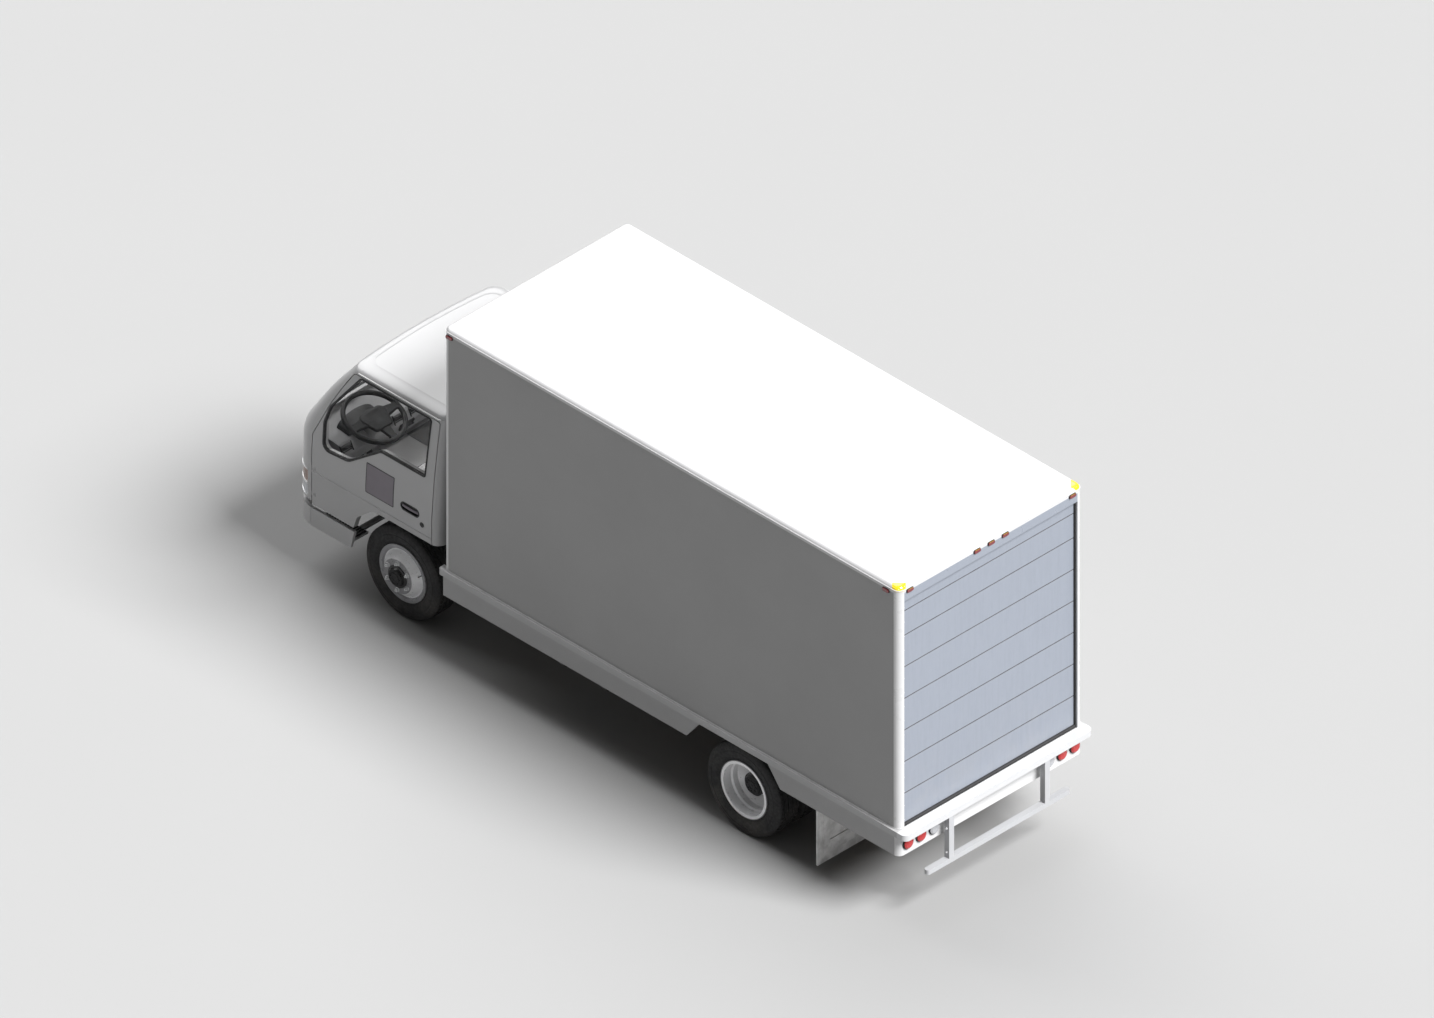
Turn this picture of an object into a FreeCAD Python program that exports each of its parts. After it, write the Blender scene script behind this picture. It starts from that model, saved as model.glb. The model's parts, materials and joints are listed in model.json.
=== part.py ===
import FreeCAD, Part
import math
import os

V = FreeCAD.Vector

# All sizes are in millimetres, x forward, y to the left, z up. The truck is drawn from the
# point on the floor below its front axle. The finished pieces are then shifted so that the
# origin lies on the floor at the middle of the truck.

# Wheels, tyres and hubs
WHEELBASE = 3810.0
TYRE_RADIUS = 398.0
TYRE_WIDTH = 225.0
TYRE_SHOULDER = 34.0
BEAD_RADIUS = 226.0
BEAD_HALF = 92.0
RIM_LIP_RADIUS = 246.0
RIM_LIP_WIDTH = 12.0
RIM_WALL = 8.0
DISC_THICKNESS = 12.0
DISC_KNEE_RADIUS = 146.0
FRONT_DISC_OFFSET = 155.0
FRONT_CONE = (84.0, 203.0)
HUB_RADIUS = 68.0
FRONT_HUB_RADIUS = 95.0
FRONT_HUB_PROUD = 8.0
REAR_HUB_RADIUS = 96.0
REAR_HUB_REACH = 128.0
HUB_CAP = 20.0
STUB_RADIUS = 30.0
RUNNING_CLEARANCE = 0.5
FRONT_TYRE_FACE = 772.0
REAR_TYRE_FACE = 952.0
TWIN_SPACING = 262.0
TWIN_JOIN = 84.0

# Steering knuckles and axles
KINGPIN_OFFSET = 618.0
KINGPIN_RADIUS = 16.0
AXLE_EYE_HALF = 62.0
AXLE_EYE_RADIUS = 33.0
YOKE_LUG = 24.0
YOKE_REACH = 38.0
YOKE_WEB = 16.0
YOKE_GAP = 1.0
BEAM_DROP = 62.0
BEAM_HALF_HEIGHT = 36.0
BEAM_HALF_DEPTH = 32.0
BEAM_WEB = 18.0
REAR_TUBE_RADIUS = 58.0
CASING_RADIUS = 165.0
NOSE_REACH = 240.0

# Chassis frame, springs and drive line
FRAME_HALF_WIDTH = 340.0
FRAME_RAIL_HEIGHT = 170.0
FRAME_FLANGE = 62.0
FRAME_WALL = 7.0
FRAME_BOTTOM = 582.0
FRAME_FRONT = 990.0
FRAME_REAR_MARGIN = 60.0
CROSS_MEMBER_COUNT = 7
CROSS_MEMBER_HALF = 40.0
SPRING_WIDTH = 66.0
SPRING_LEAF = 11.0
SPRING_EYE_DROP = 40.0
SPRING_EYE_RADIUS = 22.0
FRONT_SPRING_LENGTH = 1080.0
FRONT_LEAVES = 4
REAR_SPRING_LENGTH = 1200.0
REAR_LEAVES = 5
ENGINE_FRONT = 205.0
ENGINE_REAR = -435.0
ENGINE_HALF_WIDTH = 255.0
ENGINE_BOTTOM = 470.0
ENGINE_TOP = 868.0
GEARBOX_LENGTH = 420.0
SHAFT_HEIGHT = 600.0
SHAFT_RADIUS = 42.0

# Side equipment on the frame
TANK_SETBACK = 852.0
TANK_LENGTH = 850.0
TANK_DEPTH = 420.0
TANK_DROP = 190.0
TANK_CORNER = 60.0
STRAP_WIDTH = 50.0
STRAP_PROUD = 8.0
BATTERY_LENGTH = 500.0
BATTERY_DEPTH = 330.0
BATTERY_GAP = 60.0
SILENCER_LENGTH = 700.0
SILENCER_RADIUS = 118.0
SILENCER_SETOUT = 150.0
SILENCER_AHEAD = 860.0
PIPE_RADIUS = 34.0

# Load body
BODY_FRONT = -648.0
BODY_LENGTH = 4850.0
BODY_HALF_WIDTH = 979.0
BODY_BOTTOM = 880.0
BODY_HEIGHT = 2228.0
BODY_WALL = 42.0
BODY_CORNER = 56.0
BODY_ROOF = 60.0
ROOF_ROLL = 42.0
FLOOR_THICKNESS = 34.0
FLOOR_SILL_COUNT = 12
FLOOR_SILL_HEIGHT = 50.0
FLOOR_SILL_HALF = 22.0
POST_WIDTH = 57.0
HEADER_HEIGHT = 138.0
DOOR_THICKNESS = 24.0
DOOR_RECESS = 32.0
DOOR_STRIPS = (119.0, 225.0)
DOOR_PANEL_COUNT = 6
PANEL_GROOVE = 6.0
RAIL_PROUD = 24.0
RAIL_HEIGHT = 52.0
RAIL_NOSE = 30.0
SILL_DEPTH = 92.0
SILL_CORNER = 50.0
SKIRT_BOTTOM = 634.0
SKIRT_WALL = 20.0
WHEEL_GAP_FRONT = 574.0
WHEEL_GAP_REAR = 426.0
SKIRT_END_SLOPE = 0.8
SEAT_GAP = 0.3

# Lamps, step guard and mud flaps
TAIL_LAMP_RADIUS = 47.0
TAIL_LAMP_HEIGHT = 731.0
TAIL_LAMP_DEPTH = 28.0
TAIL_LAMP_INSETS = (93.0, 230.0, 368.0)
REAR_MARKER_DROP = 56.0
SIDE_MARKER_DROP = 70.0
MARKER_HALF_WIDTH = 33.0
MARKER_HALF_HEIGHT = 13.0
MARKER_DEPTH = 12.0
MARKER_PITCH = 150.0
MARKER_INSET = 114.0
MARKER_FRONT_INSET = 68.0
MARKER_REAR_INSET = 137.0
CORNER_LAMP_HALF_WIDTH = 52.0
CORNER_LAMP_REACH = 92.0
GUARD_POST_INNER = 484.0
GUARD_POST = 52.0
GUARD_HALF_LENGTH = 762.0
GUARD_TOP = 450.0
GUARD_DEPTH = 50.0
GUARD_THICKNESS = 42.0
FLAP_SETBACK = 770.0
FLAP_BOTTOM = 76.0
FLAP_INNER = 420.0
FLAP_INSET = 49.0
FLAP_OUTER = BODY_HALF_WIDTH - FLAP_INSET
FLAP_THICKNESS = 12.0
FLAP_FRAME_PROUD = 8.0

# Cab
CAB_REAR = -470.0
CAB_BOTTOM = 640.0
CAB_TOP = 2068.0
CAB_HALF_WIDTH = 850.0
CAB_WALL = 52.0
CAB_CORNER_LINE = 888.0
CAB_CORNER = 207.0
CAB_REAR_CORNER = 80.0
CAB_FRONT_BOW = 6.0
CAB_FLOOR = 905.0
CAB_FLOOR_THICKNESS = 30.0
FOOTWELL = 772.0
ARCH_REAR_TOP = 225.0
ARCH_KNEE = 400.0
ARCH_FRONT = 452.0
PANEL_GAP = 7.0
GLASS_THICKNESS = 6.0
DOOR_FRONT = 884.0
DOOR_REAR = -400.0
DOOR_TOP = 2006.0
BELT_HEIGHT = 1470.0
BELT_DIP = 1205.0
DRIP_RAIL_HEIGHT = 2014.0
DRIP_RAIL_PROUD = 8.0
DRIP_RAIL_THICKNESS = 12.0
HINGE_SETBACK = 32.0
HINGE_INSET = 10.0
HINGE_HEIGHTS = (745.0, 985.0)
HINGE_LUG_HEIGHT = 30.0
HINGE_LUG_RADIUS = 9.0
HINGE_PIN_RADIUS = 6.0
HINGE_PIN_REACH = 38.0
HANDLE_PLACE = (-165.0, 1115.0)
HANDLE_LENGTH = 190.0
HANDLE_HEIGHT = 66.0
HANDLE_DEPTH = 16.0
FRONT_PANEL_HALF = 600.0
FRONT_PANEL_TOP = 1190.0
GRILLE_HALF = 430.0
GRILLE_BOTTOM = 742.0
GRILLE_TOP = 942.0
GRILLE_SLATS = 5
GRILLE_SLAT_HEIGHT = 16.0
CORNER_LAMP_REAR = 925.0
HEADLAMP_SPAN = (700.0, 812.0)
TURN_LAMP_SPAN = (820.0, 944.0)
TILT_PIVOT_X = 1020.0
TILT_PIVOT_Z = 692.0
PIVOT_RADIUS = 14.0
PIVOT_REACH = 76.0
EAR_SETOUT = 26.0
EAR_THICKNESS = 30.0

# Bumper and steps
BUMPER_TOP = 612.0
BUMPER_BOTTOM = 448.0
BUMPER_FRONT = 1136.0
BUMPER_WALL = 26.0
BUMPER_CORNER = 240.0
BUMPER_BOW_DEPTH = 34.0
BUMPER_PROUD = 4.0
STEP_DEPTH = 174.0

# Cabin
STEERING_WHEEL_RADIUS = 243.0
STEERING_RIM_RADIUS = 16.0
STEERING_HUB_RADIUS = 85.0
STEERING_RAKE = 19.5
STEERING_HEIGHT = 1302.0
STEERING_REACH = 672.0
SPOKE_HALF_WIDTH = 34.0
COLUMN_RADIUS = 55.0
DRIVER_SIDE = 400.0
SEAT_BACK_HEIGHT = 780.0
SEAT_CUSHION_HEIGHT = 250.0

# Derived places
AXLE_HEIGHT = TYRE_RADIUS
REAR_AXLE = -WHEELBASE
FRONT_TYRE_MIDDLE = FRONT_TYRE_FACE - TYRE_WIDTH / 2
REAR_TYRE_MIDDLE = REAR_TYRE_FACE - TYRE_WIDTH / 2
TWIN_SEAM = REAR_TYRE_MIDDLE - TWIN_SPACING / 2
RIM_SEAT = BEAD_RADIUS - SEAT_GAP
RIM_INSIDE = RIM_SEAT - RIM_WALL
RIM_BEAD = BEAD_HALF + SEAT_GAP
RIM_LIP = BEAD_HALF + RIM_LIP_WIDTH
BORE_RADIUS = STUB_RADIUS + RUNNING_CLEARANCE
BODY_REAR = BODY_FRONT - BODY_LENGTH
BODY_TOP = BODY_BOTTOM + BODY_HEIGHT
ROOF_UNDERSIDE = BODY_TOP - BODY_ROOF
REAR_EDGE = BODY_REAR - SILL_DEPTH
RAIL_BOTTOM = BODY_BOTTOM - RAIL_HEIGHT
FRAME_TOP = FRAME_BOTTOM + FRAME_RAIL_HEIGHT
FRAME_INNER = FRAME_HALF_WIDTH - FRAME_FLANGE
FRAME_REAR = BODY_REAR + FRAME_REAR_MARGIN
ORIGIN_X = (BUMPER_FRONT + REAR_EDGE) / 2
CAB_FLOOR_TOP = CAB_FLOOR + CAB_FLOOR_THICKNESS
HINGE_X = DOOR_FRONT - HINGE_SETBACK
HINGE_Y = CAB_HALF_WIDTH - HINGE_INSET
FOOTWELL_TOP = FOOTWELL + CAB_FLOOR_THICKNESS
WIDE = BODY_HALF_WIDTH + 300


def block(x0, x1, y0, y1, z0, z1):
    low = V(min(x0, x1), min(y0, y1), min(z0, z1))
    return Part.makeBox(abs(x1 - x0), abs(y1 - y0), abs(z1 - z0), low)


def rod(start, end, radius):
    axis = end - start
    return Part.makeCylinder(radius, axis.Length, start, axis)


def flipped(shape):
    return shape.mirror(V(0, 0, 0), V(0, 1, 0))


def both_sides(shape):
    return [shape, flipped(shape)]


def joined(pieces):
    return pieces[0].fuse(pieces[1:]).removeSplitter()


def outline(points, place):
    # A closed wire through (a, b, radius) points, with each corner rounded by its radius.
    corners = []
    count = len(points)
    for i, (a, b, radius) in enumerate(points):
        here = V(a, b, 0)
        before = V(points[i - 1][0], points[i - 1][1], 0)
        after = V(points[(i + 1) % count][0], points[(i + 1) % count][1], 0)
        to_before = (before - here).normalize()
        to_after = (after - here).normalize()
        half = to_before.getAngle(to_after) / 2
        if radius <= 0 or half > math.radians(89.5):
            corners.append((here, here, here))
            continue
        reach = radius / math.tan(half)
        bisector = (to_before + to_after).normalize()
        middle = here + bisector * (radius / math.sin(half) - radius)
        corners.append((here + to_before * reach, middle, here + to_after * reach))
    edges = []
    for i, (first, middle, last) in enumerate(corners):
        if first.distanceToPoint(last) > 1e-6:
            edges.append(Part.Arc(place(first), place(middle), place(last)).toShape())
        start = corners[(i + 1) % count][0]
        if last.distanceToPoint(start) > 1e-6:
            edges.append(Part.LineSegment(place(last), place(start)).toShape())
    return Part.Wire(edges)


def side_plate(points, y0, y1):
    # A plate seen from the side: points are (x, z, radius).
    wire = outline(points, lambda p: V(p.x, y0, p.y))
    return Part.Face(wire).extrude(V(0, y1 - y0, 0))


def plan_plate(points, z0, z1):
    # A plate seen from above: points are (x, y, radius).
    wire = outline(points, lambda p: V(p.x, p.y, z0))
    return Part.Face(wire).extrude(V(0, 0, z1 - z0))


def rear_plate(points, x0, x1):
    # A plate seen from the rear: points are (y, z, radius).
    wire = outline(points, lambda p: V(x0, p.x, p.y))
    return Part.Face(wire).extrude(V(x1 - x0, 0, 0))


def rectangle(a0, a1, b0, b1, radius):
    return [(a0, b0, radius), (a1, b0, radius), (a1, b1, radius), (a0, b1, radius)]


def turned(points, x, y):
    # Revolve a profile of (across, radius) points about a wheel's axle.
    wire = Part.makePolygon([V(x, y + across, AXLE_HEIGHT + radius) for across, radius in points + points[:1]])
    return Part.Face(wire).revolve(V(x, y, AXLE_HEIGHT), V(0, 1, 0), 360)


def tyre(x, middle):
    half = TYRE_WIDTH / 2
    side = RIM_LIP_RADIUS + 2
    widest = (side + TYRE_RADIUS) / 2
    outboard = [
        (half - TYRE_SHOULDER, TYRE_RADIUS), (half, widest + 12), (half, widest - 26), (BEAD_HALF, side),
        (BEAD_HALF, BEAD_RADIUS),
    ]
    inboard = [(-across, radius) for across, radius in reversed(outboard)]
    return turned(inboard + outboard, x, middle)


def rim_section(middle):
    # Outside of one rim, from the inner edge of its inboard lip to that of its outboard lip.
    half = [(RIM_BEAD, RIM_SEAT), (RIM_BEAD, RIM_LIP_RADIUS), (RIM_LIP, RIM_LIP_RADIUS), (RIM_LIP, RIM_INSIDE)]
    return ([(middle - across, radius) for across, radius in reversed(half)]
            + [(middle + across, radius) for across, radius in half])


def hub_nose(shoulder, radius):
    # Hub end and cap, down to the axle, then the blind end of the bore.
    cap = shoulder + HUB_CAP
    return [(shoulder, radius), (shoulder + 4, radius - 14), (cap, radius - 22), (cap, 0), (shoulder - 30, 0),
            (shoulder - 30, BORE_RADIUS)]


def front_wheel():
    # Rim, disc that bulges out past the tyre, and hub turned as one profile.
    face = FRONT_DISC_OFFSET
    back = face - DISC_THICKNESS
    join, cone_radius = FRONT_CONE
    inner_end = KINGPIN_OFFSET + YOKE_REACH + YOKE_WEB + 2 - FRONT_TYRE_MIDDLE
    profile = rim_section(0)
    profile += [(join + 6, cone_radius + 2), (join, cone_radius), (face, DISC_KNEE_RADIUS), (face, FRONT_HUB_RADIUS)]
    profile += hub_nose(face + FRONT_HUB_PROUD, FRONT_HUB_RADIUS)
    profile += [(inner_end, BORE_RADIUS), (inner_end, HUB_RADIUS), (back, HUB_RADIUS), (back, DISC_KNEE_RADIUS - 8),
                (join - DISC_THICKNESS, cone_radius - 4), (join - 2 * DISC_THICKNESS, RIM_INSIDE)]
    return turned(profile, 0, FRONT_TYRE_MIDDLE)


def rear_wheels():
    # Two deep-dished rims bolted back to back on one hub, turned as one profile about their seam.
    half = TWIN_SPACING / 2
    pad = DISC_THICKNESS
    knee = DISC_KNEE_RADIUS
    inner_end = -half - TYRE_WIDTH / 4
    profile = rim_section(-half)
    profile += [(-TWIN_JOIN, RIM_INSIDE), (-pad, knee), (pad, knee), (TWIN_JOIN, RIM_INSIDE)]
    profile += rim_section(half)
    profile += [(TWIN_JOIN + 72, RIM_INSIDE), (TWIN_JOIN + 60, RIM_INSIDE - 12), (TWIN_JOIN + pad, RIM_INSIDE - 14),
                (2 * pad, knee - 8), (2 * pad, REAR_HUB_RADIUS)]
    profile += hub_nose(REAR_HUB_REACH, REAR_HUB_RADIUS)
    profile += [(inner_end, BORE_RADIUS), (inner_end, HUB_RADIUS), (-2 * pad, HUB_RADIUS), (-2 * pad, knee - 8),
                (-TWIN_JOIN - pad, RIM_INSIDE)]
    return turned(profile, REAR_AXLE, TWIN_SEAM)


def rear_tyres():
    return Part.makeCompound([tyre(REAR_AXLE, REAR_TYRE_MIDDLE), tyre(REAR_AXLE, REAR_TYRE_MIDDLE - TWIN_SPACING)])


def knuckle():
    # Yoke round the beam's eye, kingpin and stub axle.
    y = KINGPIN_OFFSET
    inner = AXLE_EYE_HALF + YOKE_GAP
    outer = inner + YOKE_LUG
    lug = rod(V(0, y, AXLE_HEIGHT + inner), V(0, y, AXLE_HEIGHT + outer), AXLE_EYE_RADIUS)
    arm = block(-STUB_RADIUS, STUB_RADIUS, y, y + YOKE_REACH, AXLE_HEIGHT + inner, AXLE_HEIGHT + outer)
    upper = lug.fuse(arm)
    lower = upper.mirror(V(0, 0, AXLE_HEIGHT), V(0, 0, 1))
    pin = rod(V(0, y, AXLE_HEIGHT - inner), V(0, y, AXLE_HEIGHT + inner), KINGPIN_RADIUS)
    web = block(-STUB_RADIUS, STUB_RADIUS, y + YOKE_REACH, y + YOKE_REACH + YOKE_WEB, AXLE_HEIGHT - outer,
                AXLE_HEIGHT + outer)
    end = FRONT_TYRE_MIDDLE + FRONT_DISC_OFFSET + FRONT_HUB_PROUD - 31
    stub = rod(V(0, y + YOKE_REACH, AXLE_HEIGHT), V(0, end, AXLE_HEIGHT), STUB_RADIUS)
    return joined([upper, lower, pin, web, stub])


def front_axle():
    # Dropped I-beam with a kingpin eye at each end.
    y = KINGPIN_OFFSET
    end = BEAM_HALF_HEIGHT
    low = AXLE_HEIGHT - BEAM_DROP
    upper = [(y, AXLE_HEIGHT + end, 0), (y - 90, AXLE_HEIGHT + end - 2, 60), (y - 170, low + end, 60)]
    lower = [(y - 190, low - end, 60), (y - 110, AXLE_HEIGHT - end - 4, 60), (y, AXLE_HEIGHT - end, 0)]
    half = upper + [(-a, b, r) for a, b, r in reversed(upper)]
    under = [(-a, b, r) for a, b, r in reversed(lower)] + lower
    beam = rear_plate(half + under, -BEAM_HALF_DEPTH, BEAM_HALF_DEPTH)
    recess = rear_plate(rectangle(-y + 240, y - 240, low - end + 14, low + end - 14, 10), BEAM_WEB / 2,
                        BEAM_HALF_DEPTH + 1)
    recess = recess.fuse(recess.mirror(V(0, 0, 0), V(1, 0, 0)))
    eyes = both_sides(rod(V(0, y, AXLE_HEIGHT - AXLE_EYE_HALF), V(0, y, AXLE_HEIGHT + AXLE_EYE_HALF),
                          AXLE_EYE_RADIUS))
    bores = both_sides(rod(V(0, y, AXLE_HEIGHT - AXLE_EYE_HALF - 1), V(0, y, AXLE_HEIGHT + AXLE_EYE_HALF + 1),
                           KINGPIN_RADIUS + RUNNING_CLEARANCE))
    return joined([beam.cut(recess)] + eyes).cut(bores[0]).cut(bores[1])


def rear_axle():
    # Tube with its stub ends, a round casing for the differential and the nose that takes the shaft.
    tube_end = TWIN_SEAM - TWIN_SPACING / 2 - TYRE_WIDTH / 4 - 6
    stub_end = TWIN_SEAM + REAR_HUB_REACH - 31
    tube = rod(V(REAR_AXLE, -tube_end, AXLE_HEIGHT), V(REAR_AXLE, tube_end, AXLE_HEIGHT), REAR_TUBE_RADIUS)
    stub = rod(V(REAR_AXLE, -stub_end, AXLE_HEIGHT), V(REAR_AXLE, stub_end, AXLE_HEIGHT), STUB_RADIUS)
    casing = turned([(-140, 0), (-140, 70), (-90, CASING_RADIUS - 25), (-30, CASING_RADIUS), (30, CASING_RADIUS),
                     (90, CASING_RADIUS - 25), (140, 70), (140, 0)], REAR_AXLE, 0)
    nose = Part.makeCone(90, 50, NOSE_REACH - 110, V(REAR_AXLE + 110, 0, AXLE_HEIGHT), V(1, 0, 0))
    return joined([tube, stub, casing, nose])


def leaf(x, y, reach, seat, rise):
    # One curved leaf, lowest at x and raised by rise at both ends.
    def bow(level):
        return Part.Arc(V(x - reach, y, level + rise), V(x, y, level), V(x + reach, y, level + rise)).toShape()

    def tip(side):
        return Part.LineSegment(V(x + side * reach, y, seat + rise),
                                V(x + side * reach, y, seat + rise - SPRING_LEAF)).toShape()

    face = Part.Face(Part.Wire([bow(seat), tip(1), bow(seat - SPRING_LEAF), tip(-1)]))
    return face.extrude(V(0, SPRING_WIDTH, 0))


def leaf_pack(x, length, seat, leaves):
    # Stacked leaves with an eye and a hanger at each end below the frame rail.
    y = FRAME_HALF_WIDTH - FRAME_FLANGE / 2 - SPRING_WIDTH / 2 - 6
    half = length / 2
    eye_level = FRAME_BOTTOM - SPRING_EYE_DROP
    rise = eye_level - seat
    pieces = []
    for i in range(leaves):
        reach = half * (1 - 0.16 * i)
        pieces.append(leaf(x, y, reach, seat - i * SPRING_LEAF, rise * (reach / half) ** 2))
    middle = y + SPRING_WIDTH / 2
    for end in (x - half, x + half):
        eye = V(end, y, eye_level - SPRING_LEAF / 2)
        pieces.append(rod(eye, eye + V(0, SPRING_WIDTH, 0), SPRING_EYE_RADIUS))
        pieces.append(block(end - 18, end + 18, middle - 14, middle + 14, eye_level - 6, FRAME_BOTTOM))
    return joined(pieces)


def leaf_springs():
    front_seat = AXLE_HEIGHT - BEAM_DROP + BEAM_HALF_HEIGHT + FRONT_LEAVES * SPRING_LEAF
    rear_seat = AXLE_HEIGHT + REAR_TUBE_RADIUS + REAR_LEAVES * SPRING_LEAF
    front = leaf_pack(0, FRONT_SPRING_LENGTH, front_seat, FRONT_LEAVES)
    rear = leaf_pack(REAR_AXLE, REAR_SPRING_LENGTH, rear_seat, REAR_LEAVES)
    return Part.makeCompound(both_sides(front) + both_sides(rear))


def cross_member_places():
    first = ENGINE_REAR - GEARBOX_LENGTH - 110
    last = FRAME_REAR + CROSS_MEMBER_HALF + 2
    pitch = (first - last) / (CROSS_MEMBER_COUNT - 2)
    return [FRAME_FRONT - CROSS_MEMBER_HALF - 2] + [first - pitch * i for i in range(CROSS_MEMBER_COUNT - 1)]


def frame_rails():
    # Two channel rails with cross members, the tilting cab's pivot brackets and its rear rests.
    rail = block(FRAME_REAR, FRAME_FRONT, FRAME_INNER, FRAME_HALF_WIDTH, FRAME_BOTTOM, FRAME_TOP)
    hollow = block(FRAME_REAR, FRAME_FRONT, FRAME_INNER, FRAME_HALF_WIDTH - FRAME_WALL, FRAME_BOTTOM + FRAME_WALL,
                   FRAME_TOP - FRAME_WALL)
    inner = FRAME_HALF_WIDTH - FRAME_WALL
    level = FRAME_BOTTOM + 75
    pieces = both_sides(rail.cut(hollow))
    for x in cross_member_places():
        rear = x - CROSS_MEMBER_HALF
        pieces.append(block(rear, x + CROSS_MEMBER_HALF, -inner, inner, level, level + FRAME_WALL))
        pieces.append(block(rear, rear + FRAME_WALL, -inner, inner, level, FRAME_TOP - 10))
    arm = side_plate([(FRAME_FRONT - 160, FRAME_TOP - 60, 10), (FRAME_FRONT - 20, FRAME_BOTTOM + 10, 10),
                      (TILT_PIVOT_X + 26, TILT_PIVOT_Z - 30, 20), (TILT_PIVOT_X + 26, TILT_PIVOT_Z + 26, 20),
                      (TILT_PIVOT_X - 26, TILT_PIVOT_Z + 26, 20)],
                     FRAME_HALF_WIDTH, FRAME_HALF_WIDTH + PIVOT_RADIUS)
    pin = rod(V(TILT_PIVOT_X, FRAME_HALF_WIDTH, TILT_PIVOT_Z),
              V(TILT_PIVOT_X, FRAME_HALF_WIDTH + PIVOT_REACH, TILT_PIVOT_Z), PIVOT_RADIUS)
    rest = block(CAB_REAR + 40, CAB_REAR + 90, FRAME_INNER, FRAME_HALF_WIDTH, FRAME_TOP, CAB_FLOOR)
    return joined(pieces + both_sides(arm) + both_sides(pin) + both_sides(rest))


def engine_block():
    return block(ENGINE_REAR, ENGINE_FRONT, -ENGINE_HALF_WIDTH, ENGINE_HALF_WIDTH, ENGINE_BOTTOM, ENGINE_TOP)


def drive_line():
    # Gearbox behind the engine, and the shaft back to the rear axle's nose.
    rear = ENGINE_REAR - GEARBOX_LENGTH
    box = Part.makeCone(150, 90, GEARBOX_LENGTH, V(ENGINE_REAR, 0, SHAFT_HEIGHT), V(-1, 0, 0))
    joint = V(REAR_AXLE + NOSE_REACH + 60, 0, AXLE_HEIGHT)
    yoke = rod(V(REAR_AXLE + NOSE_REACH, 0, AXLE_HEIGHT), joint, SHAFT_RADIUS + 2)
    return joined([box, rod(V(rear, 0, SHAFT_HEIGHT), joint, SHAFT_RADIUS), yoke,
                   Part.makeSphere(SHAFT_RADIUS + 4, joint)])


def fuel_tank():
    front = BODY_FRONT - TANK_SETBACK
    rear = front - TANK_LENGTH
    y0 = FRAME_HALF_WIDTH + STRAP_PROUD + 4
    y1 = y0 + TANK_DEPTH
    bottom = FRAME_BOTTOM - TANK_DROP
    top = FRAME_TOP - 30
    p = STRAP_PROUD
    pieces = [rear_plate(rectangle(y0, y1, bottom, top, TANK_CORNER), rear, front)]
    for x in (front - 200, rear + 200):
        strap = rectangle(y0 - p - 4, y1 + p, bottom - p, top + p, TANK_CORNER + p)
        pieces.append(rear_plate(strap, x - STRAP_WIDTH / 2, x + STRAP_WIDTH / 2))
    return joined(pieces)


def battery_box():
    front = BODY_FRONT - TANK_SETBACK
    rear = front - BATTERY_LENGTH
    y0 = -FRAME_HALF_WIDTH - BATTERY_GAP
    y1 = y0 - BATTERY_DEPTH
    lid_bottom = FRAME_TOP - 24
    case = rear_plate(rectangle(y1, y0, FRAME_BOTTOM - 60, lid_bottom, 12), rear, front)
    lid = rear_plate(rectangle(y1 - 8, y0 + 8, lid_bottom, lid_bottom + 30, 6), rear - 8, front + 8)
    arms = [block(x - 22, x + 22, y0, -FRAME_HALF_WIDTH, FRAME_BOTTOM + 30, FRAME_BOTTOM + 70)
            for x in (front - 90, rear + 90)]
    return joined([case, lid] + arms)


def exhaust():
    # Silencer beside the right rail, with its pipes and hangers.
    y = -(FRAME_HALF_WIDTH + SILENCER_SETOUT)
    z = FRAME_BOTTOM - 20
    rear = REAR_AXLE + SILENCER_AHEAD
    front = rear + SILENCER_LENGTH
    drum = rod(V(rear, y, z), V(front, y, z), SILENCER_RADIUS)
    pipe = rod(V(rear - 230, y, z), V(front + 190, y, z), PIPE_RADIUS)
    hangers = [block(x - 15, x + 15, y, -FRAME_HALF_WIDTH, z + 90, z + 130) for x in (rear + 100, front - 100)]
    return joined([drum, pipe] + hangers)


def body_plan(grow, radius):
    # The load body's corners in plan, moved out by grow.
    front = BODY_FRONT + grow
    rear = BODY_REAR - grow
    half = BODY_HALF_WIDTH + grow
    return [(front, half, radius), (front, -half, radius), (rear, -half, radius), (rear, half, radius)]


def body_ring(z0, z1):
    # The load body's walls as one ring, with rounded corner posts.
    outer = plan_plate(body_plan(0, BODY_CORNER), z0, z1)
    return outer.cut(plan_plate(body_plan(-BODY_WALL, 0), z0 - 1, z1 + 1))


def body_side_walls():
    span = block(BODY_FRONT - BODY_CORNER, BODY_REAR + POST_WIDTH, 0, BODY_HALF_WIDTH, BODY_BOTTOM, ROOF_UNDERSIDE)
    return Part.makeCompound(both_sides(body_ring(BODY_BOTTOM, ROOF_UNDERSIDE).common(span)))


def body_front_wall():
    span = block(BODY_FRONT, BODY_FRONT - BODY_CORNER, -BODY_HALF_WIDTH, BODY_HALF_WIDTH, BODY_BOTTOM, ROOF_UNDERSIDE)
    return body_ring(BODY_BOTTOM, ROOF_UNDERSIDE).common(span)


def body_rear_frame():
    # Rear posts and header round the door opening.
    half = BODY_HALF_WIDTH - POST_WIDTH
    solid = plan_plate(body_plan(0, BODY_CORNER), BODY_BOTTOM, ROOF_UNDERSIDE)
    frame = solid.common(block(BODY_REAR, BODY_REAR + POST_WIDTH, -BODY_HALF_WIDTH, BODY_HALF_WIDTH, BODY_BOTTOM,
                               ROOF_UNDERSIDE))
    return frame.cut(block(BODY_REAR, BODY_REAR + POST_WIDTH, -half, half, BODY_BOTTOM, BODY_TOP - HEADER_HEIGHT))


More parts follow.
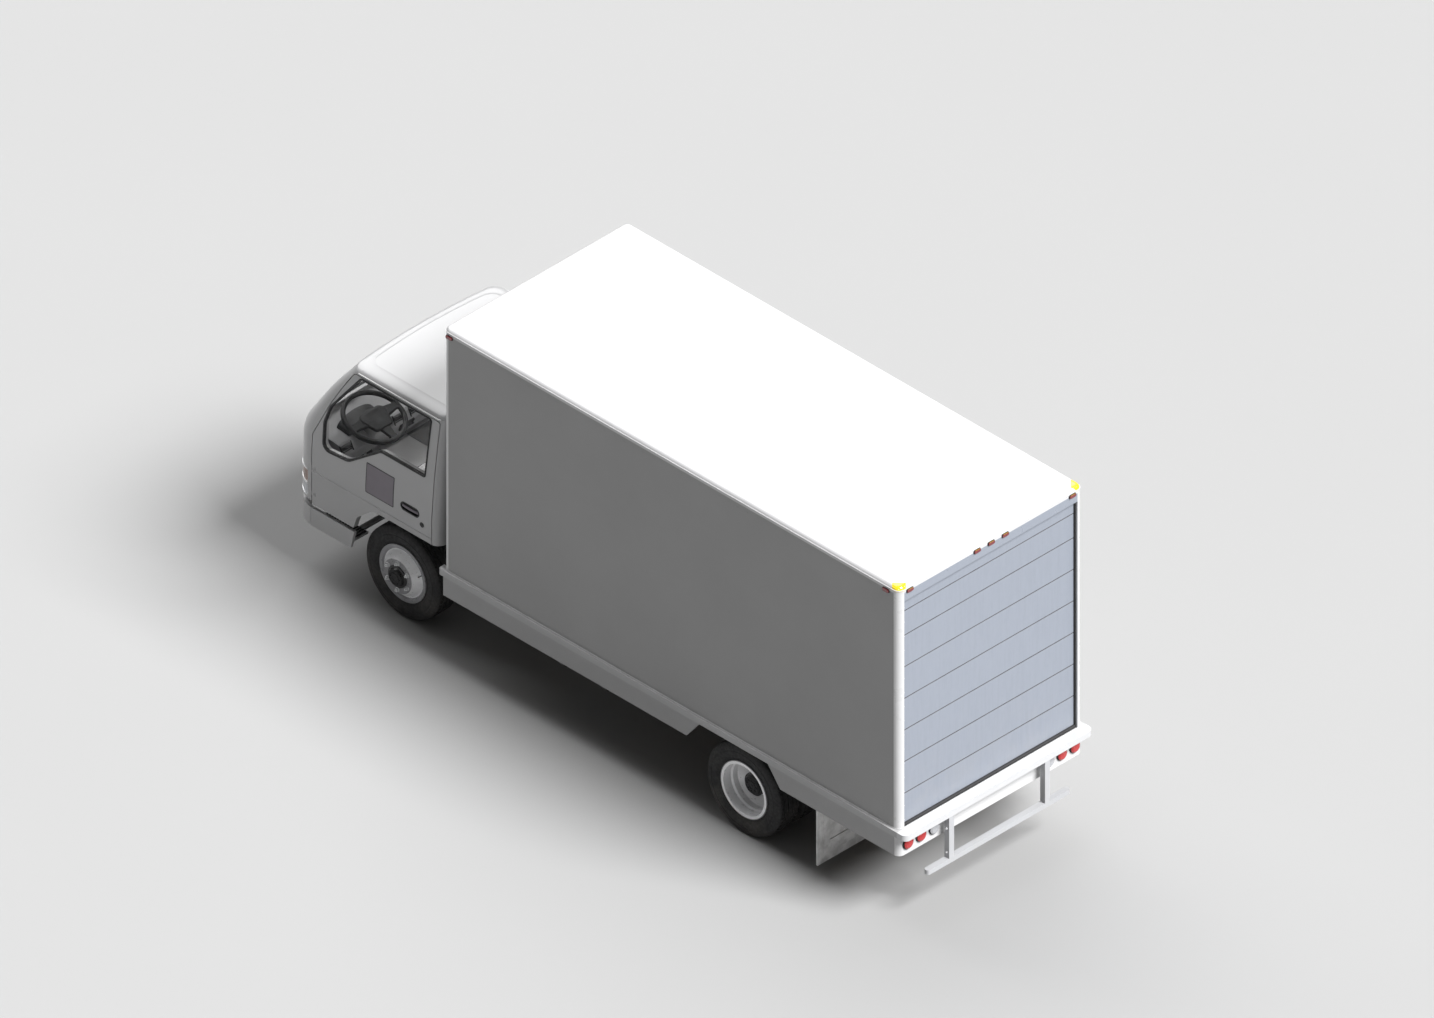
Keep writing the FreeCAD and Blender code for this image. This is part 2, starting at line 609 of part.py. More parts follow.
def roof_plate():
    # The whole roof with a rolled edge all round, before the corner lamps are let into it.
    plate = plan_plate(body_plan(0, BODY_CORNER), ROOF_UNDERSIDE, BODY_TOP)
    rim = [edge for edge in plate.Edges if edge.BoundBox.ZMin > BODY_TOP - 0.1]
    return plate.makeFillet(ROOF_ROLL, rim)


def corner_pocket():
    # Pocket across a rear top corner of the roof, for its lamp.
    half = CORNER_LAMP_HALF_WIDTH
    pocket = block(-CORNER_LAMP_REACH, CORNER_LAMP_REACH, -half, half, BODY_TOP - ROOF_ROLL, BODY_TOP + 1)
    pocket.rotate(V(0, 0, 0), V(0, 0, 1), 135)
    pocket.translate(V(BODY_REAR, BODY_HALF_WIDTH, 0))
    return pocket


def body_roof():
    return roof_plate().cut(both_sides(corner_pocket()))


def body_floor():
    # Deck between the walls, on cross sills and two long bearers that lie on the frame rails.
    half = BODY_HALF_WIDTH - BODY_WALL
    sill_bottom = BODY_BOTTOM - FLOOR_SILL_HEIGHT
    pieces = [block(BODY_FRONT - BODY_WALL, BODY_REAR + POST_WIDTH, -half, half, BODY_BOTTOM,
                    BODY_BOTTOM + FLOOR_THICKNESS)]
    first = BODY_FRONT - 160
    last = BODY_REAR + 150
    for i in range(FLOOR_SILL_COUNT):
        x = first + (last - first) * i / (FLOOR_SILL_COUNT - 1)
        pieces.append(block(x - FLOOR_SILL_HALF, x + FLOOR_SILL_HALF, -half, half, sill_bottom, BODY_BOTTOM))
    bearer = block(BODY_FRONT - 60, BODY_REAR + 70, FRAME_INNER, FRAME_HALF_WIDTH, FRAME_TOP, sill_bottom)
    return joined(pieces + both_sides(bearer))


def rub_rails():
    # The ledge round the foot of the body: narrow at the sides, a deep sill at the rear.
    half = BODY_HALF_WIDTH + RAIL_PROUD
    front = BODY_FRONT + RAIL_NOSE
    outer = plan_plate([(front, half, RAIL_PROUD), (front, -half, RAIL_PROUD), (REAR_EDGE, -half, SILL_CORNER),
                        (REAR_EDGE, half, SILL_CORNER)], RAIL_BOTTOM, BODY_BOTTOM)
    inside = BODY_HALF_WIDTH - BODY_WALL
    inner = block(front + 1, BODY_REAR + POST_WIDTH, -inside, inside, RAIL_BOTTOM, BODY_BOTTOM)
    return outer.cut(inner)


def skirts():
    # One apron round sides and rear, hung below the rail, with sloped openings at the rear wheels.
    inside = BODY_HALF_WIDTH - SKIRT_WALL
    rear = BODY_REAR + SKIRT_WALL
    radius = BODY_CORNER - SKIRT_WALL
    outer = plan_plate([(BODY_FRONT, BODY_HALF_WIDTH, 0), (BODY_FRONT, -BODY_HALF_WIDTH, 0),
                        (BODY_REAR, -BODY_HALF_WIDTH, BODY_CORNER), (BODY_REAR, BODY_HALF_WIDTH, BODY_CORNER)],
                       SKIRT_BOTTOM, RAIL_BOTTOM)
    inner = plan_plate([(BODY_FRONT + 1, inside, 0), (BODY_FRONT + 1, -inside, 0), (rear, -inside, radius),
                        (rear, inside, radius)], SKIRT_BOTTOM - 1, RAIL_BOTTOM + 1)
    front_end = REAR_AXLE + WHEEL_GAP_FRONT
    rear_end = REAR_AXLE - WHEEL_GAP_REAR
    lean = SKIRT_END_SLOPE * (RAIL_BOTTOM - SKIRT_BOTTOM)
    gap = side_plate([(front_end, SKIRT_BOTTOM - 1, 0), (front_end - lean, RAIL_BOTTOM + 1, 0),
                      (rear_end + lean, RAIL_BOTTOM + 1, 0), (rear_end, SKIRT_BOTTOM - 1, 0)], -WIDE, WIDE)
    return outer.cut(inner).cut(gap)


def rollup_door():
    # Slatted door in the rear opening: three strips of different height above equal panels.
    half = BODY_HALF_WIDTH - POST_WIDTH - SEAT_GAP
    top = BODY_TOP - HEADER_HEIGHT - SEAT_GAP
    outer = BODY_REAR + DOOR_RECESS
    door = block(outer, outer + DOOR_THICKNESS, -half, half, BODY_BOTTOM + SEAT_GAP, top)
    seams = [top - sum(DOOR_STRIPS[:i + 1]) for i in range(len(DOOR_STRIPS))]
    pitch = (seams[-1] - BODY_BOTTOM) / DOOR_PANEL_COUNT
    seams += [seams[-1] - pitch * i for i in range(1, DOOR_PANEL_COUNT)]
    depth = PANEL_GROOVE
    for z in seams:
        groove = side_plate([(outer - 1, z - depth, 0), (outer - 1, z + depth, 0), (outer + depth, z, 0)], -half, half)
        door = door.cut(groove)
    return door


def tail_lamps():
    # Round lamps with a crowned lens, three on each side of the rear apron.
    lamps = []
    edge = 0.6 * TAIL_LAMP_DEPTH
    radius = TAIL_LAMP_RADIUS
    for inset in TAIL_LAMP_INSETS:
        y = BODY_HALF_WIDTH - inset
        points = [(0, 0), (0, radius), (edge, radius), (0.9 * TAIL_LAMP_DEPTH, 0.7 * radius), (TAIL_LAMP_DEPTH, 0)]
        wire = Part.makePolygon([V(BODY_REAR - a, y, TAIL_LAMP_HEIGHT + r) for a, r in points + points[:1]])
        lamps += both_sides(Part.Face(wire).revolve(V(0, y, TAIL_LAMP_HEIGHT), V(1, 0, 0), 360))
    return Part.makeCompound(lamps)


def corner_lamp():
    # Amber lamp let into a rear top corner, flush with the roof's rolled edge.
    return roof_plate().common(corner_pocket())


def marker_lamps():
    # Small lamps on the rear header and high on the sides, and one let into each rear top corner.
    half = MARKER_HALF_WIDTH
    height = MARKER_HALF_HEIGHT
    edge = BODY_HALF_WIDTH - MARKER_INSET
    lamps = both_sides(corner_lamp())
    z = BODY_TOP - REAR_MARKER_DROP
    for y in (-edge, -MARKER_PITCH, 0, MARKER_PITCH, edge):
        oval = rectangle(y - half, y + half, z - height, z + height, height - 1)
        lamps.append(rear_plate(oval, BODY_REAR - MARKER_DEPTH, BODY_REAR))
    z = BODY_TOP - SIDE_MARKER_DROP
    for x in (BODY_FRONT - MARKER_FRONT_INSET, BODY_REAR + MARKER_REAR_INSET):
        oval = rectangle(x - half, x + half, z - height, z + height, height - 1)
        lamps += both_sides(side_plate(oval, BODY_HALF_WIDTH, BODY_HALF_WIDTH + MARKER_DEPTH))
    return Part.makeCompound(lamps)


def underride_guard():
    # Step bar with rounded ends on two square posts below the rear sill.
    rear = REAR_EDGE
    front = REAR_EDGE + GUARD_DEPTH
    bar = plan_plate(rectangle(rear, front, -GUARD_HALF_LENGTH, GUARD_HALF_LENGTH, GUARD_DEPTH / 2 - 1),
                     GUARD_TOP - GUARD_THICKNESS, GUARD_TOP)
    post = block(rear, rear + GUARD_POST, GUARD_POST_INNER, GUARD_POST_INNER + GUARD_POST, GUARD_TOP, RAIL_BOTTOM)
    return joined([bar] + both_sides(post))


def mud_flaps():
    # Moulded flap with a raised frame, hung from an arm on the frame rail.
    x = REAR_AXLE - FLAP_SETBACK
    top = RAIL_BOTTOM - 2
    flap = rear_plate(rectangle(FLAP_INNER, FLAP_OUTER, FLAP_BOTTOM, top, 8), x, x + FLAP_THICKNESS)
    edge = rectangle(FLAP_INNER + 60, FLAP_OUTER - 60, FLAP_BOTTOM + 74, RAIL_BOTTOM - 120, 20)
    hole = rectangle(FLAP_INNER + 130, FLAP_OUTER - 130, FLAP_BOTTOM + 184, RAIL_BOTTOM - 200, 10)
    frame = rear_plate(edge, x - FLAP_FRAME_PROUD, x).cut(rear_plate(hole, x - FLAP_FRAME_PROUD, x))
    arm = block(x, x + 40, FRAME_HALF_WIDTH, FLAP_OUTER, RAIL_BOTTOM - 60, RAIL_BOTTOM - 30)
    return Part.makeCompound(both_sides(joined([flap, frame, arm])))


# Cab sections above the waist: height, step back of the corner line, step in of the side, corner radius.
CAB_STATIONS = (
    (1040.0, 0.0, 0.0, 0.0), (1180.0, 1.0, 3.0, 3.0), (1300.0, 8.0, 12.0, 17.0), (1460.0, 66.0, 25.0, 57.0),
    (1650.0, 167.0, 40.0, 87.0), (1830.0, 288.0, 55.0, 97.0), (2020.0, 436.0, 75.0, 107.0),
)
# Roof sections above them: share of the crown's height, step in from the side.
ROOF_STEPS = ((0.44, 12.0), (0.78, 48.0), (1.0, 128.0))


def cab_section(z, start, half, radius, rear, rear_radius):
    # Closed plan section, smooth round the front: side, corner, bowed front, corner, side, rear.
    bow = math.radians(CAB_FRONT_BOW)
    big = (half - radius) / math.sin(bow) + radius
    centre = start + (radius - big) * math.cos(bow)
    turn = (bow + math.pi / 2) / 2
    knee = V(start + radius * math.cos(bow), half - radius + radius * math.sin(bow), z)
    middle = V(start + radius * math.cos(turn), half - radius + radius * math.sin(turn), z)
    side = V(start, half, z)
    cut = rear_radius * (1 - math.sqrt(0.5))
    back = V(rear + rear_radius, half, z)
    back_middle = V(rear + cut, half - cut, z)
    tail = V(rear, half - rear_radius, z)

    def other(p):
        return V(p.x, -p.y, p.z)

    return Part.Wire([
        Part.LineSegment(back, side).toShape(),
        Part.Arc(side, middle, knee).toShape(),
        Part.Arc(knee, V(centre + big, 0, z), other(knee)).toShape(),
        Part.Arc(other(knee), other(middle), other(side)).toShape(),
        Part.LineSegment(other(side), other(back)).toShape(),
        Part.Arc(other(back), other(back_middle), other(tail)).toShape(),
        Part.LineSegment(other(tail), tail).toShape(),
        Part.Arc(tail, back_middle, back).toShape(),
    ])


def cab_solid(inset):
    # The cab's outer form, or the same form moved in: straight waist, tapered top, crowned roof. The
    # form inside the walls is flat at the ceiling.
    rear = CAB_REAR + inset
    rear_radius = CAB_REAR_CORNER - inset
    waist = CAB_STATIONS[0][0]
    side = CAB_HALF_WIDTH - inset
    corner = CAB_CORNER - inset
    base = Part.Face(cab_section(CAB_BOTTOM, CAB_CORNER_LINE, side, corner, rear, rear_radius))
    low = base.extrude(V(0, 0, waist - CAB_BOTTOM))
    middle = [cab_section(z, CAB_CORNER_LINE - back, side - step, corner - less, rear, rear_radius)
              for z, back, step, less in CAB_STATIONS]
    z, back, step, less = CAB_STATIONS[-1]
    crown = CAB_TOP - inset - z
    if crown <= 0:
        return low.fuse(Part.makeLoft(middle, True, False))
    start = CAB_CORNER_LINE - back
    top = [cab_section(z, start, side - step, corner - less, rear, rear_radius)]
    for share, in_step in ROOF_STEPS:
        top.append(cab_section(z + crown * share, start - in_step * 0.7, side - step - in_step, corner - less,
                               rear + min(in_step, 40), rear_radius))
    return low.fuse([Part.makeLoft(middle, True, False), Part.makeLoft(top, True, False)])


def arch_outline():
    # Side view of the space kept for the front wheel, down to below the cab.
    low = CAB_BOTTOM - 1
    return [(CAB_REAR - 50, low, 0), (CAB_REAR - 50, CAB_FLOOR, 0), (ARCH_REAR_TOP, CAB_FLOOR, 90),
            (ARCH_KNEE, FOOTWELL - 12, 60), (ARCH_FRONT, CAB_BOTTOM - 40, 0), (ARCH_FRONT, low - 60, 0),
            (CAB_REAR - 50, low - 60, 0)]


def floor_outline():
    # Side view of the floor: raised over the wheels and engine, stepped down for the driver's feet.
    t = CAB_FLOOR_THICKNESS
    front = CAB_CORNER_LINE + CAB_CORNER + 200
    return [(CAB_REAR, CAB_FLOOR, 0), (ARCH_REAR_TOP, CAB_FLOOR, t), (ARCH_KNEE, FOOTWELL, t),
            (front, FOOTWELL, 0), (front, FOOTWELL_TOP, 0), (ARCH_KNEE + t * 0.6, FOOTWELL_TOP, t),
            (ARCH_REAR_TOP + t * 0.6, CAB_FLOOR_TOP, t), (CAB_REAR, CAB_FLOOR_TOP, 0)]


def door_outline(gap):
    # Side view of the door, smaller all round by a gap.
    return [
        (DOOR_FRONT - gap, CAB_BOTTOM + gap, 0), (DOOR_FRONT - gap, 1290, 60), (812 - gap, 1440, 200),
        (716 - gap, 1640, 200), (612 - gap, 1822, 200), (500 - gap, DOOR_TOP - gap, 60),
        (DOOR_REAR - 18 + gap, DOOR_TOP - gap, 24), (DOOR_REAR + gap, 1484, 200), (DOOR_REAR + gap, CAB_FLOOR - 20, 0),
        (ARCH_REAR_TOP - 45, CAB_FLOOR - 20, 0), (ARCH_KNEE, CAB_BOTTOM + gap, 0),
    ]


def window_outline(inset):
    # Side view of the door window with its dipped front half.
    i = inset
    return [
        (DOOR_REAR + 103 + i, BELT_HEIGHT + i, 18), (170 - i * 0.3, BELT_HEIGHT + i, 80),
        (500, BELT_DIP + 22 + i, 120), (765 - i, BELT_DIP + i, 60), (768 - i, 1440, 120), (716 - i, 1600, 150),
        (423 - i * 0.6, DOOR_TOP - 21 - i, 40), (DOOR_REAR + 76 + i, DOOR_TOP - 21 - i, 18),
    ]


def windscreen_outline(grow):
    # Front view of the windscreen.
    top = DOOR_TOP - 21 + grow
    return [(-690 - grow, 1265 - grow, 70), (690 + grow, 1265 - grow, 70), (600 + grow, top, 60),
            (-600 - grow, top, 60)]


def rear_window_outline(grow):
    return rectangle(-520 - grow, 520 + grow, 1490 - grow, 1900 + grow, 50)


def front_panel_outline(gap):
    # Front view of the panel below the windscreen.
    half = FRONT_PANEL_HALF - gap
    return rectangle(-half, half, CAB_BOTTOM + 34 + gap, FRONT_PANEL_TOP - gap, 0)


def grille_openings():
    # Slots between the slats, cut right through the front panel.
    height = (GRILLE_TOP - GRILLE_BOTTOM - (GRILLE_SLATS - 1) * GRILLE_SLAT_HEIGHT) / GRILLE_SLATS
    slots = []
    for i in range(GRILLE_SLATS):
        z = GRILLE_BOTTOM + i * (height + GRILLE_SLAT_HEIGHT)
        slots.append(rear_plate(rectangle(-GRILLE_HALF, GRILLE_HALF, z, z + height, 0), DOOR_FRONT, DOOR_FRONT + 500))
    return slots


def drip_rail():
    # Gutter that runs along the cab's sides above the doors.
    back, step, less = CAB_STATIONS[-1][1:]
    z = DRIP_RAIL_HEIGHT
    side = CAB_HALF_WIDTH - step + DRIP_RAIL_PROUD
    ring = Part.Face(cab_section(z, CAB_CORNER_LINE - back, side, CAB_CORNER - less, CAB_REAR, CAB_REAR_CORNER))
    rail = ring.extrude(V(0, 0, DRIP_RAIL_THICKNESS))
    span = block(DOOR_REAR - 20, CAB_CORNER_LINE - back, 0, side, z, z + DRIP_RAIL_THICKNESS)
    core = block(DOOR_REAR - 30, CAB_CORNER_LINE, 0, side - DRIP_RAIL_PROUD - CAB_WALL / 2, z - 1, z + 30)
    return rail.common(span).cut(core)


def handle_recess():
    # Oval pocket for the pull handle, pressed into the door skin.
    x, z = HANDLE_PLACE
    half = HANDLE_LENGTH / 2
    height = HANDLE_HEIGHT / 2
    return side_plate(rectangle(x - half, x + half, z - height, z + height, height - 1), 0, WIDE)


def hinge_lugs():
    # Lugs on the front pillar, each with the pin that its door turns on.
    lugs = []
    half = HINGE_LUG_HEIGHT / 2
    for z in HINGE_HEIGHTS:
        lug = rod(V(HINGE_X, HINGE_Y, z - half), V(HINGE_X, HINGE_Y, z + half), HINGE_LUG_RADIUS)
        pin = rod(V(HINGE_X, HINGE_Y, z - HINGE_PIN_REACH), V(HINGE_X, HINGE_Y, z + HINGE_PIN_REACH), HINGE_PIN_RADIUS)
        neck = block(HINGE_X, DOOR_FRONT + HINGE_LUG_RADIUS, HINGE_Y - HINGE_LUG_RADIUS + 1,
                     HINGE_Y + HINGE_LUG_RADIUS - 1, z - half, z + half)
        lugs += [lug, pin, neck]
    return lugs


def hinge_slots():
    # Slots in the door's front edge that its lugs sit in, and bores for their pins.
    slots = []
    half = HINGE_LUG_HEIGHT / 2
    clear = HINGE_LUG_RADIUS + 3
    for z in HINGE_HEIGHTS:
        slots.append(block(HINGE_X - clear, DOOR_FRONT, HINGE_Y - clear, WIDE, z - half, z + half + 1))
        slots.append(rod(V(HINGE_X, HINGE_Y, z - HINGE_PIN_REACH - 1), V(HINGE_X, HINGE_Y, z + HINGE_PIN_REACH + 1),
                         HINGE_PIN_RADIUS + RUNNING_CLEARANCE))
    return slots


def pivot_ear():
    # Ear under the floor that turns on the frame's pivot pin.
    y0 = FRAME_HALF_WIDTH + EAR_SETOUT
    y1 = y0 + EAR_THICKNESS
    ear = side_plate([(TILT_PIVOT_X - 40, FOOTWELL + 4, 0), (TILT_PIVOT_X + 30, FOOTWELL + 4, 0),
                      (TILT_PIVOT_X + 30, TILT_PIVOT_Z - 27, 22), (TILT_PIVOT_X - 30, TILT_PIVOT_Z - 27, 22)], y0, y1)
    bore = rod(V(TILT_PIVOT_X, y0 - 1, TILT_PIVOT_Z), V(TILT_PIVOT_X, y1 + 1, TILT_PIVOT_Z), PIVOT_RADIUS + SEAT_GAP)
    return ear.cut(bore)


def cab_floor(inner):
    # Floor pan inside the walls, clear of the doors, with the ears of the tilt pivot.
    floor = inner.common(side_plate(floor_outline(), -WIDE, WIDE))
    beside = block(DOOR_REAR - 10, DOOR_FRONT + 10, CAB_HALF_WIDTH - CAB_WALL - PANEL_GAP, WIDE, 0, CAB_FLOOR_TOP + 100)
    return joined([floor.cut(beside).cut(flipped(beside))] + both_sides(pivot_ear()))


def cab_pieces():
    # Cut the cab's wall into shell, floor, front panel, doors, lamps and glass.
    outer = cab_solid(0)
    inner = cab_solid(CAB_WALL)
    front_low = block(DOOR_FRONT, CAB_CORNER_LINE + 500, -WIDE, WIDE, 0, CAB_BOTTOM + 34)
    skin = outer.cut(inner).cut(side_plate(arch_outline(), -WIDE, WIDE)).cut(front_low)
    glass_skin = cab_solid(CAB_WALL / 2 - GLASS_THICKNESS / 2).cut(cab_solid(CAB_WALL / 2 + GLASS_THICKNESS / 2))
    reach = CAB_HALF_WIDTH - 200
    front = CAB_CORNER_LINE - 500
    far = CAB_CORNER_LINE + 500
    door_hole = side_plate(door_outline(0), reach, WIDE)
    pocket = handle_recess().cut(cab_solid(HANDLE_DEPTH))
    door = skin.common(side_plate(door_outline(PANEL_GAP), reach, WIDE))
    door = door.cut([side_plate(window_outline(0), reach, WIDE), pocket] + hinge_slots())
    door_glass = glass_skin.common(side_plate(window_outline(SEAT_GAP), reach, WIDE))
    screen = glass_skin.common(rear_plate(windscreen_outline(-SEAT_GAP), front, far))
    back_pane = glass_skin.common(rear_plate(rear_window_outline(-SEAT_GAP), CAB_REAR, CAB_REAR + 150))
    panel = skin.common(rear_plate(front_panel_outline(SEAT_GAP), front, far))
    panel = panel.cut(grille_openings())
    cutters = both_sides(door_hole)
    cutters += [rear_plate(windscreen_outline(0), front, far), rear_plate(front_panel_outline(0), front, far)]
    cutters += [rear_plate(rear_window_outline(0), CAB_REAR - 50, CAB_REAR + 150)]
    lamps = []
    for z0, z1 in (HEADLAMP_SPAN, TURN_LAMP_SPAN):
        window = block(CORNER_LAMP_REAR, far, FRONT_PANEL_HALF, WIDE, z0, z1)
        lamps += both_sides(skin.common(window))
        cutters += both_sides(window)
    added = [part for lug in hinge_lugs() for part in both_sides(lug)] + both_sides(drip_rail())
    shell = joined([skin.cut(cutters)] + added)
    return {
        "cab_shell": shell, "cab_floor": cab_floor(inner), "front_panel": panel,
        "front_lamps": Part.makeCompound(lamps), "cab_glass": Part.makeCompound([screen, back_pane]),
        "door_left": door, "door_right": flipped(door), "door_glass_left": door_glass,
        "door_glass_right": flipped(door_glass),
    }


def front_bumper():
    # Wrap-round bumper skin with a stiffening beam bolted to the frame rails' ends.
    start = BUMPER_FRONT - BUMPER_CORNER - BUMPER_BOW_DEPTH
    half = CAB_HALF_WIDTH + BUMPER_PROUD
    height = V(0, 0, BUMPER_TOP - BUMPER_BOTTOM)
    rear = DOOR_FRONT - 400
    outer = Part.Face(cab_section(BUMPER_BOTTOM, start, half, BUMPER_CORNER, rear, 20)).extrude(height)
    inner = Part.Face(cab_section(BUMPER_BOTTOM, start, half - BUMPER_WALL, BUMPER_CORNER - BUMPER_WALL, rear,
                                  10)).extrude(height)
    skin = outer.cut(inner).common(block(DOOR_FRONT + 4, BUMPER_FRONT + 100, -WIDE, WIDE, 0, BUMPER_TOP))
    beam = block(FRAME_FRONT, BUMPER_FRONT - 30, -FRAME_HALF_WIDTH + 40, FRAME_HALF_WIDTH - 40, BUMPER_BOTTOM + 20,
                 BUMPER_TOP - 20)
    return joined([skin, beam])


def side_steps():
    # Entry step panel ahead of each front wheel, with its tread and its bracket on the frame.
    y = CAB_HALF_WIDTH + BUMPER_PROUD
    rear = ARCH_FRONT + 10
    level = BUMPER_BOTTOM + 30
    tread_inner = y - BUMPER_WALL - STEP_DEPTH
    panel = side_plate([(rear, BUMPER_BOTTOM, 6), (DOOR_FRONT, BUMPER_BOTTOM, 6), (DOOR_FRONT, BUMPER_TOP, 6),
                        (rear - 40, BUMPER_TOP, 6)], y - BUMPER_WALL, y)
    tread = block(rear + 10, DOOR_FRONT - 10, tread_inner, y - BUMPER_WALL, level, level + 18)
    arm = block(rear + 60, rear + 110, FRAME_HALF_WIDTH, tread_inner, level, level + 18)
    riser = block(rear + 60, rear + 110, FRAME_HALF_WIDTH, FRAME_HALF_WIDTH + 12, level, FRAME_BOTTOM + 60)
    return Part.makeCompound(both_sides(joined([panel, tread, arm, riser])))


def steering_axis():
    rake = math.radians(STEERING_RAKE)
    return V(-math.sin(rake), 0, math.cos(rake))


def column_top():
    return V(STEERING_REACH, DRIVER_SIDE, STEERING_HEIGHT)


def dashboard():
    # Fascia across the cab, with the column that carries the steering wheel.
    half = CAB_HALF_WIDTH - CAB_WALL - 70
    deep = CAB_CORNER_LINE + CAB_CORNER + 200
    profile = [(deep, FOOTWELL_TOP, 0), (deep, 1225, 0), (940, 1225, 60), (700, 1200, 50), (660, 1120, 40),
               (700, 1000, 40), (900, 960, 60), (960, FOOTWELL_TOP, 20)]
    fascia = side_plate(profile, -half, half).common(cab_solid(CAB_WALL + SEAT_GAP))
    column = rod(column_top() - steering_axis() * 230, column_top() - steering_axis() * 30, COLUMN_RADIUS)
    return joined([fascia, column])


def steering_wheel():
    # Rim with an eight-sided grip, three spokes and a hub on a short shaft.
    axis = steering_axis()
    centre = column_top()
    plane = centre + axis * 24
    side = V(0, 1, 0)
    down = axis.cross(side)
    grip = [plane + side * (STEERING_WHEEL_RADIUS + STEERING_RIM_RADIUS * math.cos(turn))
            + axis * (STEERING_RIM_RADIUS * math.sin(turn)) for turn in [math.pi * (i + 0.5) / 4 for i in range(8)]]
    ring = Part.Face(Part.makePolygon(grip + grip[:1])).revolve(plane, axis, 360)
    hub = Part.makeCylinder(STEERING_HUB_RADIUS, 40, centre - axis * 10, axis)
    shaft = Part.makeCylinder(18, 24, centre - axis * 29, axis)
    spokes = []
    for direction in (side, side * -1, down):
        across = axis.cross(direction) * SPOKE_HALF_WIDTH
        end = direction * STEERING_WHEEL_RADIUS
        low = centre + axis * 6
        corners = [low + across, low - across, low - across * 0.6 + end, low + across * 0.6 + end]
        spokes.append(Part.Face(Part.makePolygon(corners + corners[:1])).extrude(axis * 20))
    return joined([ring, hub, shaft] + spokes)


def seats():
    # Driver's seat and a two-place bench, each a cushion and a back.
    floor = CAB_FLOOR_TOP
    rear = CAB_REAR + CAB_WALL + 23
    top = floor + SEAT_BACK_HEIGHT
    cushion_top = floor + SEAT_CUSHION_HEIGHT
    wall = CAB_HALF_WIDTH - 160
    pieces = []
    for y0, y1 in ((DRIVER_SIDE - 230, DRIVER_SIDE + 230), (-wall, 90.0)):
        cushion = side_plate([(rear + 65, floor, 20), (190, floor, 30), (200, cushion_top, 60),
                              (rear + 65, cushion_top - 30, 40)], y0, y1)
        back = side_plate([(rear + 65, cushion_top - 100, 20), (rear + 195, cushion_top - 60, 30),
                           (rear + 115, top, 50), (rear, top, 50)], y0, y1)
        pieces.append(joined([cushion, back]))
    return Part.makeCompound(pieces)


def pieces():
    nodes = {
        "frame_rails": frame_rails(), "engine_block": engine_block(), "drive_line": drive_line(),
        "front_axle": front_axle(), "rear_axle": rear_axle(), "leaf_springs": leaf_springs(),
        "fuel_tank": fuel_tank(), "battery_box": battery_box(), "exhaust": exhaust(),
        "front_bumper": front_bumper(), "side_steps": side_steps(), "dashboard": dashboard(),
        "steering_wheel": steering_wheel(), "seats": seats(), "body_floor": body_floor(),
        "body_side_walls": body_side_walls(), "body_front_wall": body_front_wall(), "body_roof": body_roof(),
        "body_rear_frame": body_rear_frame(), "rollup_door": rollup_door(), "rub_rails": rub_rails(),
        "skirts": skirts(), "tail_lamps": tail_lamps(), "marker_lamps": marker_lamps(),
        "underride_guard": underride_guard(), "mud_flaps": mud_flaps(),
    }
    nodes.update(cab_pieces())
    corners = {
        "knuckle": knuckle(), "wheel_front": front_wheel(), "tyre_front": tyre(0, FRONT_TYRE_MIDDLE),
        "wheel_rear": rear_wheels(), "tyre_rear": rear_tyres(),
    }
    for name, shape in corners.items():
        nodes[name + "_left"] = shape
        nodes[name + "_right"] = flipped(shape)
    return nodes


os.makedirs("parts", exist_ok=True)
for name, shape in pieces().items():
    shape.translate(V(-ORIGIN_X, 0, 0))
    shape.exportStep("parts/" + name + ".step")
    print(name, len(shape.Solids), shape.isValid(), round(shape.Volume / 1e9, 5))
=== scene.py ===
import json
from math import ceil, cos, exp, pi, radians, sin, tan

import bmesh
import bpy
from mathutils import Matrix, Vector
from mathutils.bvhtree import BVHTree


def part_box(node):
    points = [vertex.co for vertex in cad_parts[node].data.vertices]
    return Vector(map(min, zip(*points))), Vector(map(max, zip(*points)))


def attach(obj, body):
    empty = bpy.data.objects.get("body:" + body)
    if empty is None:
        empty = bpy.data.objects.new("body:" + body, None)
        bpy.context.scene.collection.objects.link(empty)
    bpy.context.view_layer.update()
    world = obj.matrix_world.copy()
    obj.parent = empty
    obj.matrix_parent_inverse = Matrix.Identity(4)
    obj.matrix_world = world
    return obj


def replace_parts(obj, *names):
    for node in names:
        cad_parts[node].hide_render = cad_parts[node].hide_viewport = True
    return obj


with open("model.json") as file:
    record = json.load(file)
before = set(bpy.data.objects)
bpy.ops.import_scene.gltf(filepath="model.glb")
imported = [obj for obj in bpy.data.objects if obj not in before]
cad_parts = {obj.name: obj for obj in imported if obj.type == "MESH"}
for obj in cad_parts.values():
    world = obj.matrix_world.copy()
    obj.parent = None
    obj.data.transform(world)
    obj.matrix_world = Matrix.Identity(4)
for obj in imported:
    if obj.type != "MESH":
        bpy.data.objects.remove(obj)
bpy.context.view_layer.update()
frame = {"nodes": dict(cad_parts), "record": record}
NODES = frame["nodes"]
SIDES = (("left", 1), ("right", -1))

# Picture geometry: an isometric view from the left rear.
VIEW_AZIMUTH = 225.0
VIEW_ELEVATION = 35.264
VIEW_WIDTH = 10.79
VIEW_AIM = Vector((1.548, -1.904, 0.0))
VIEW_DISTANCE = 40.0

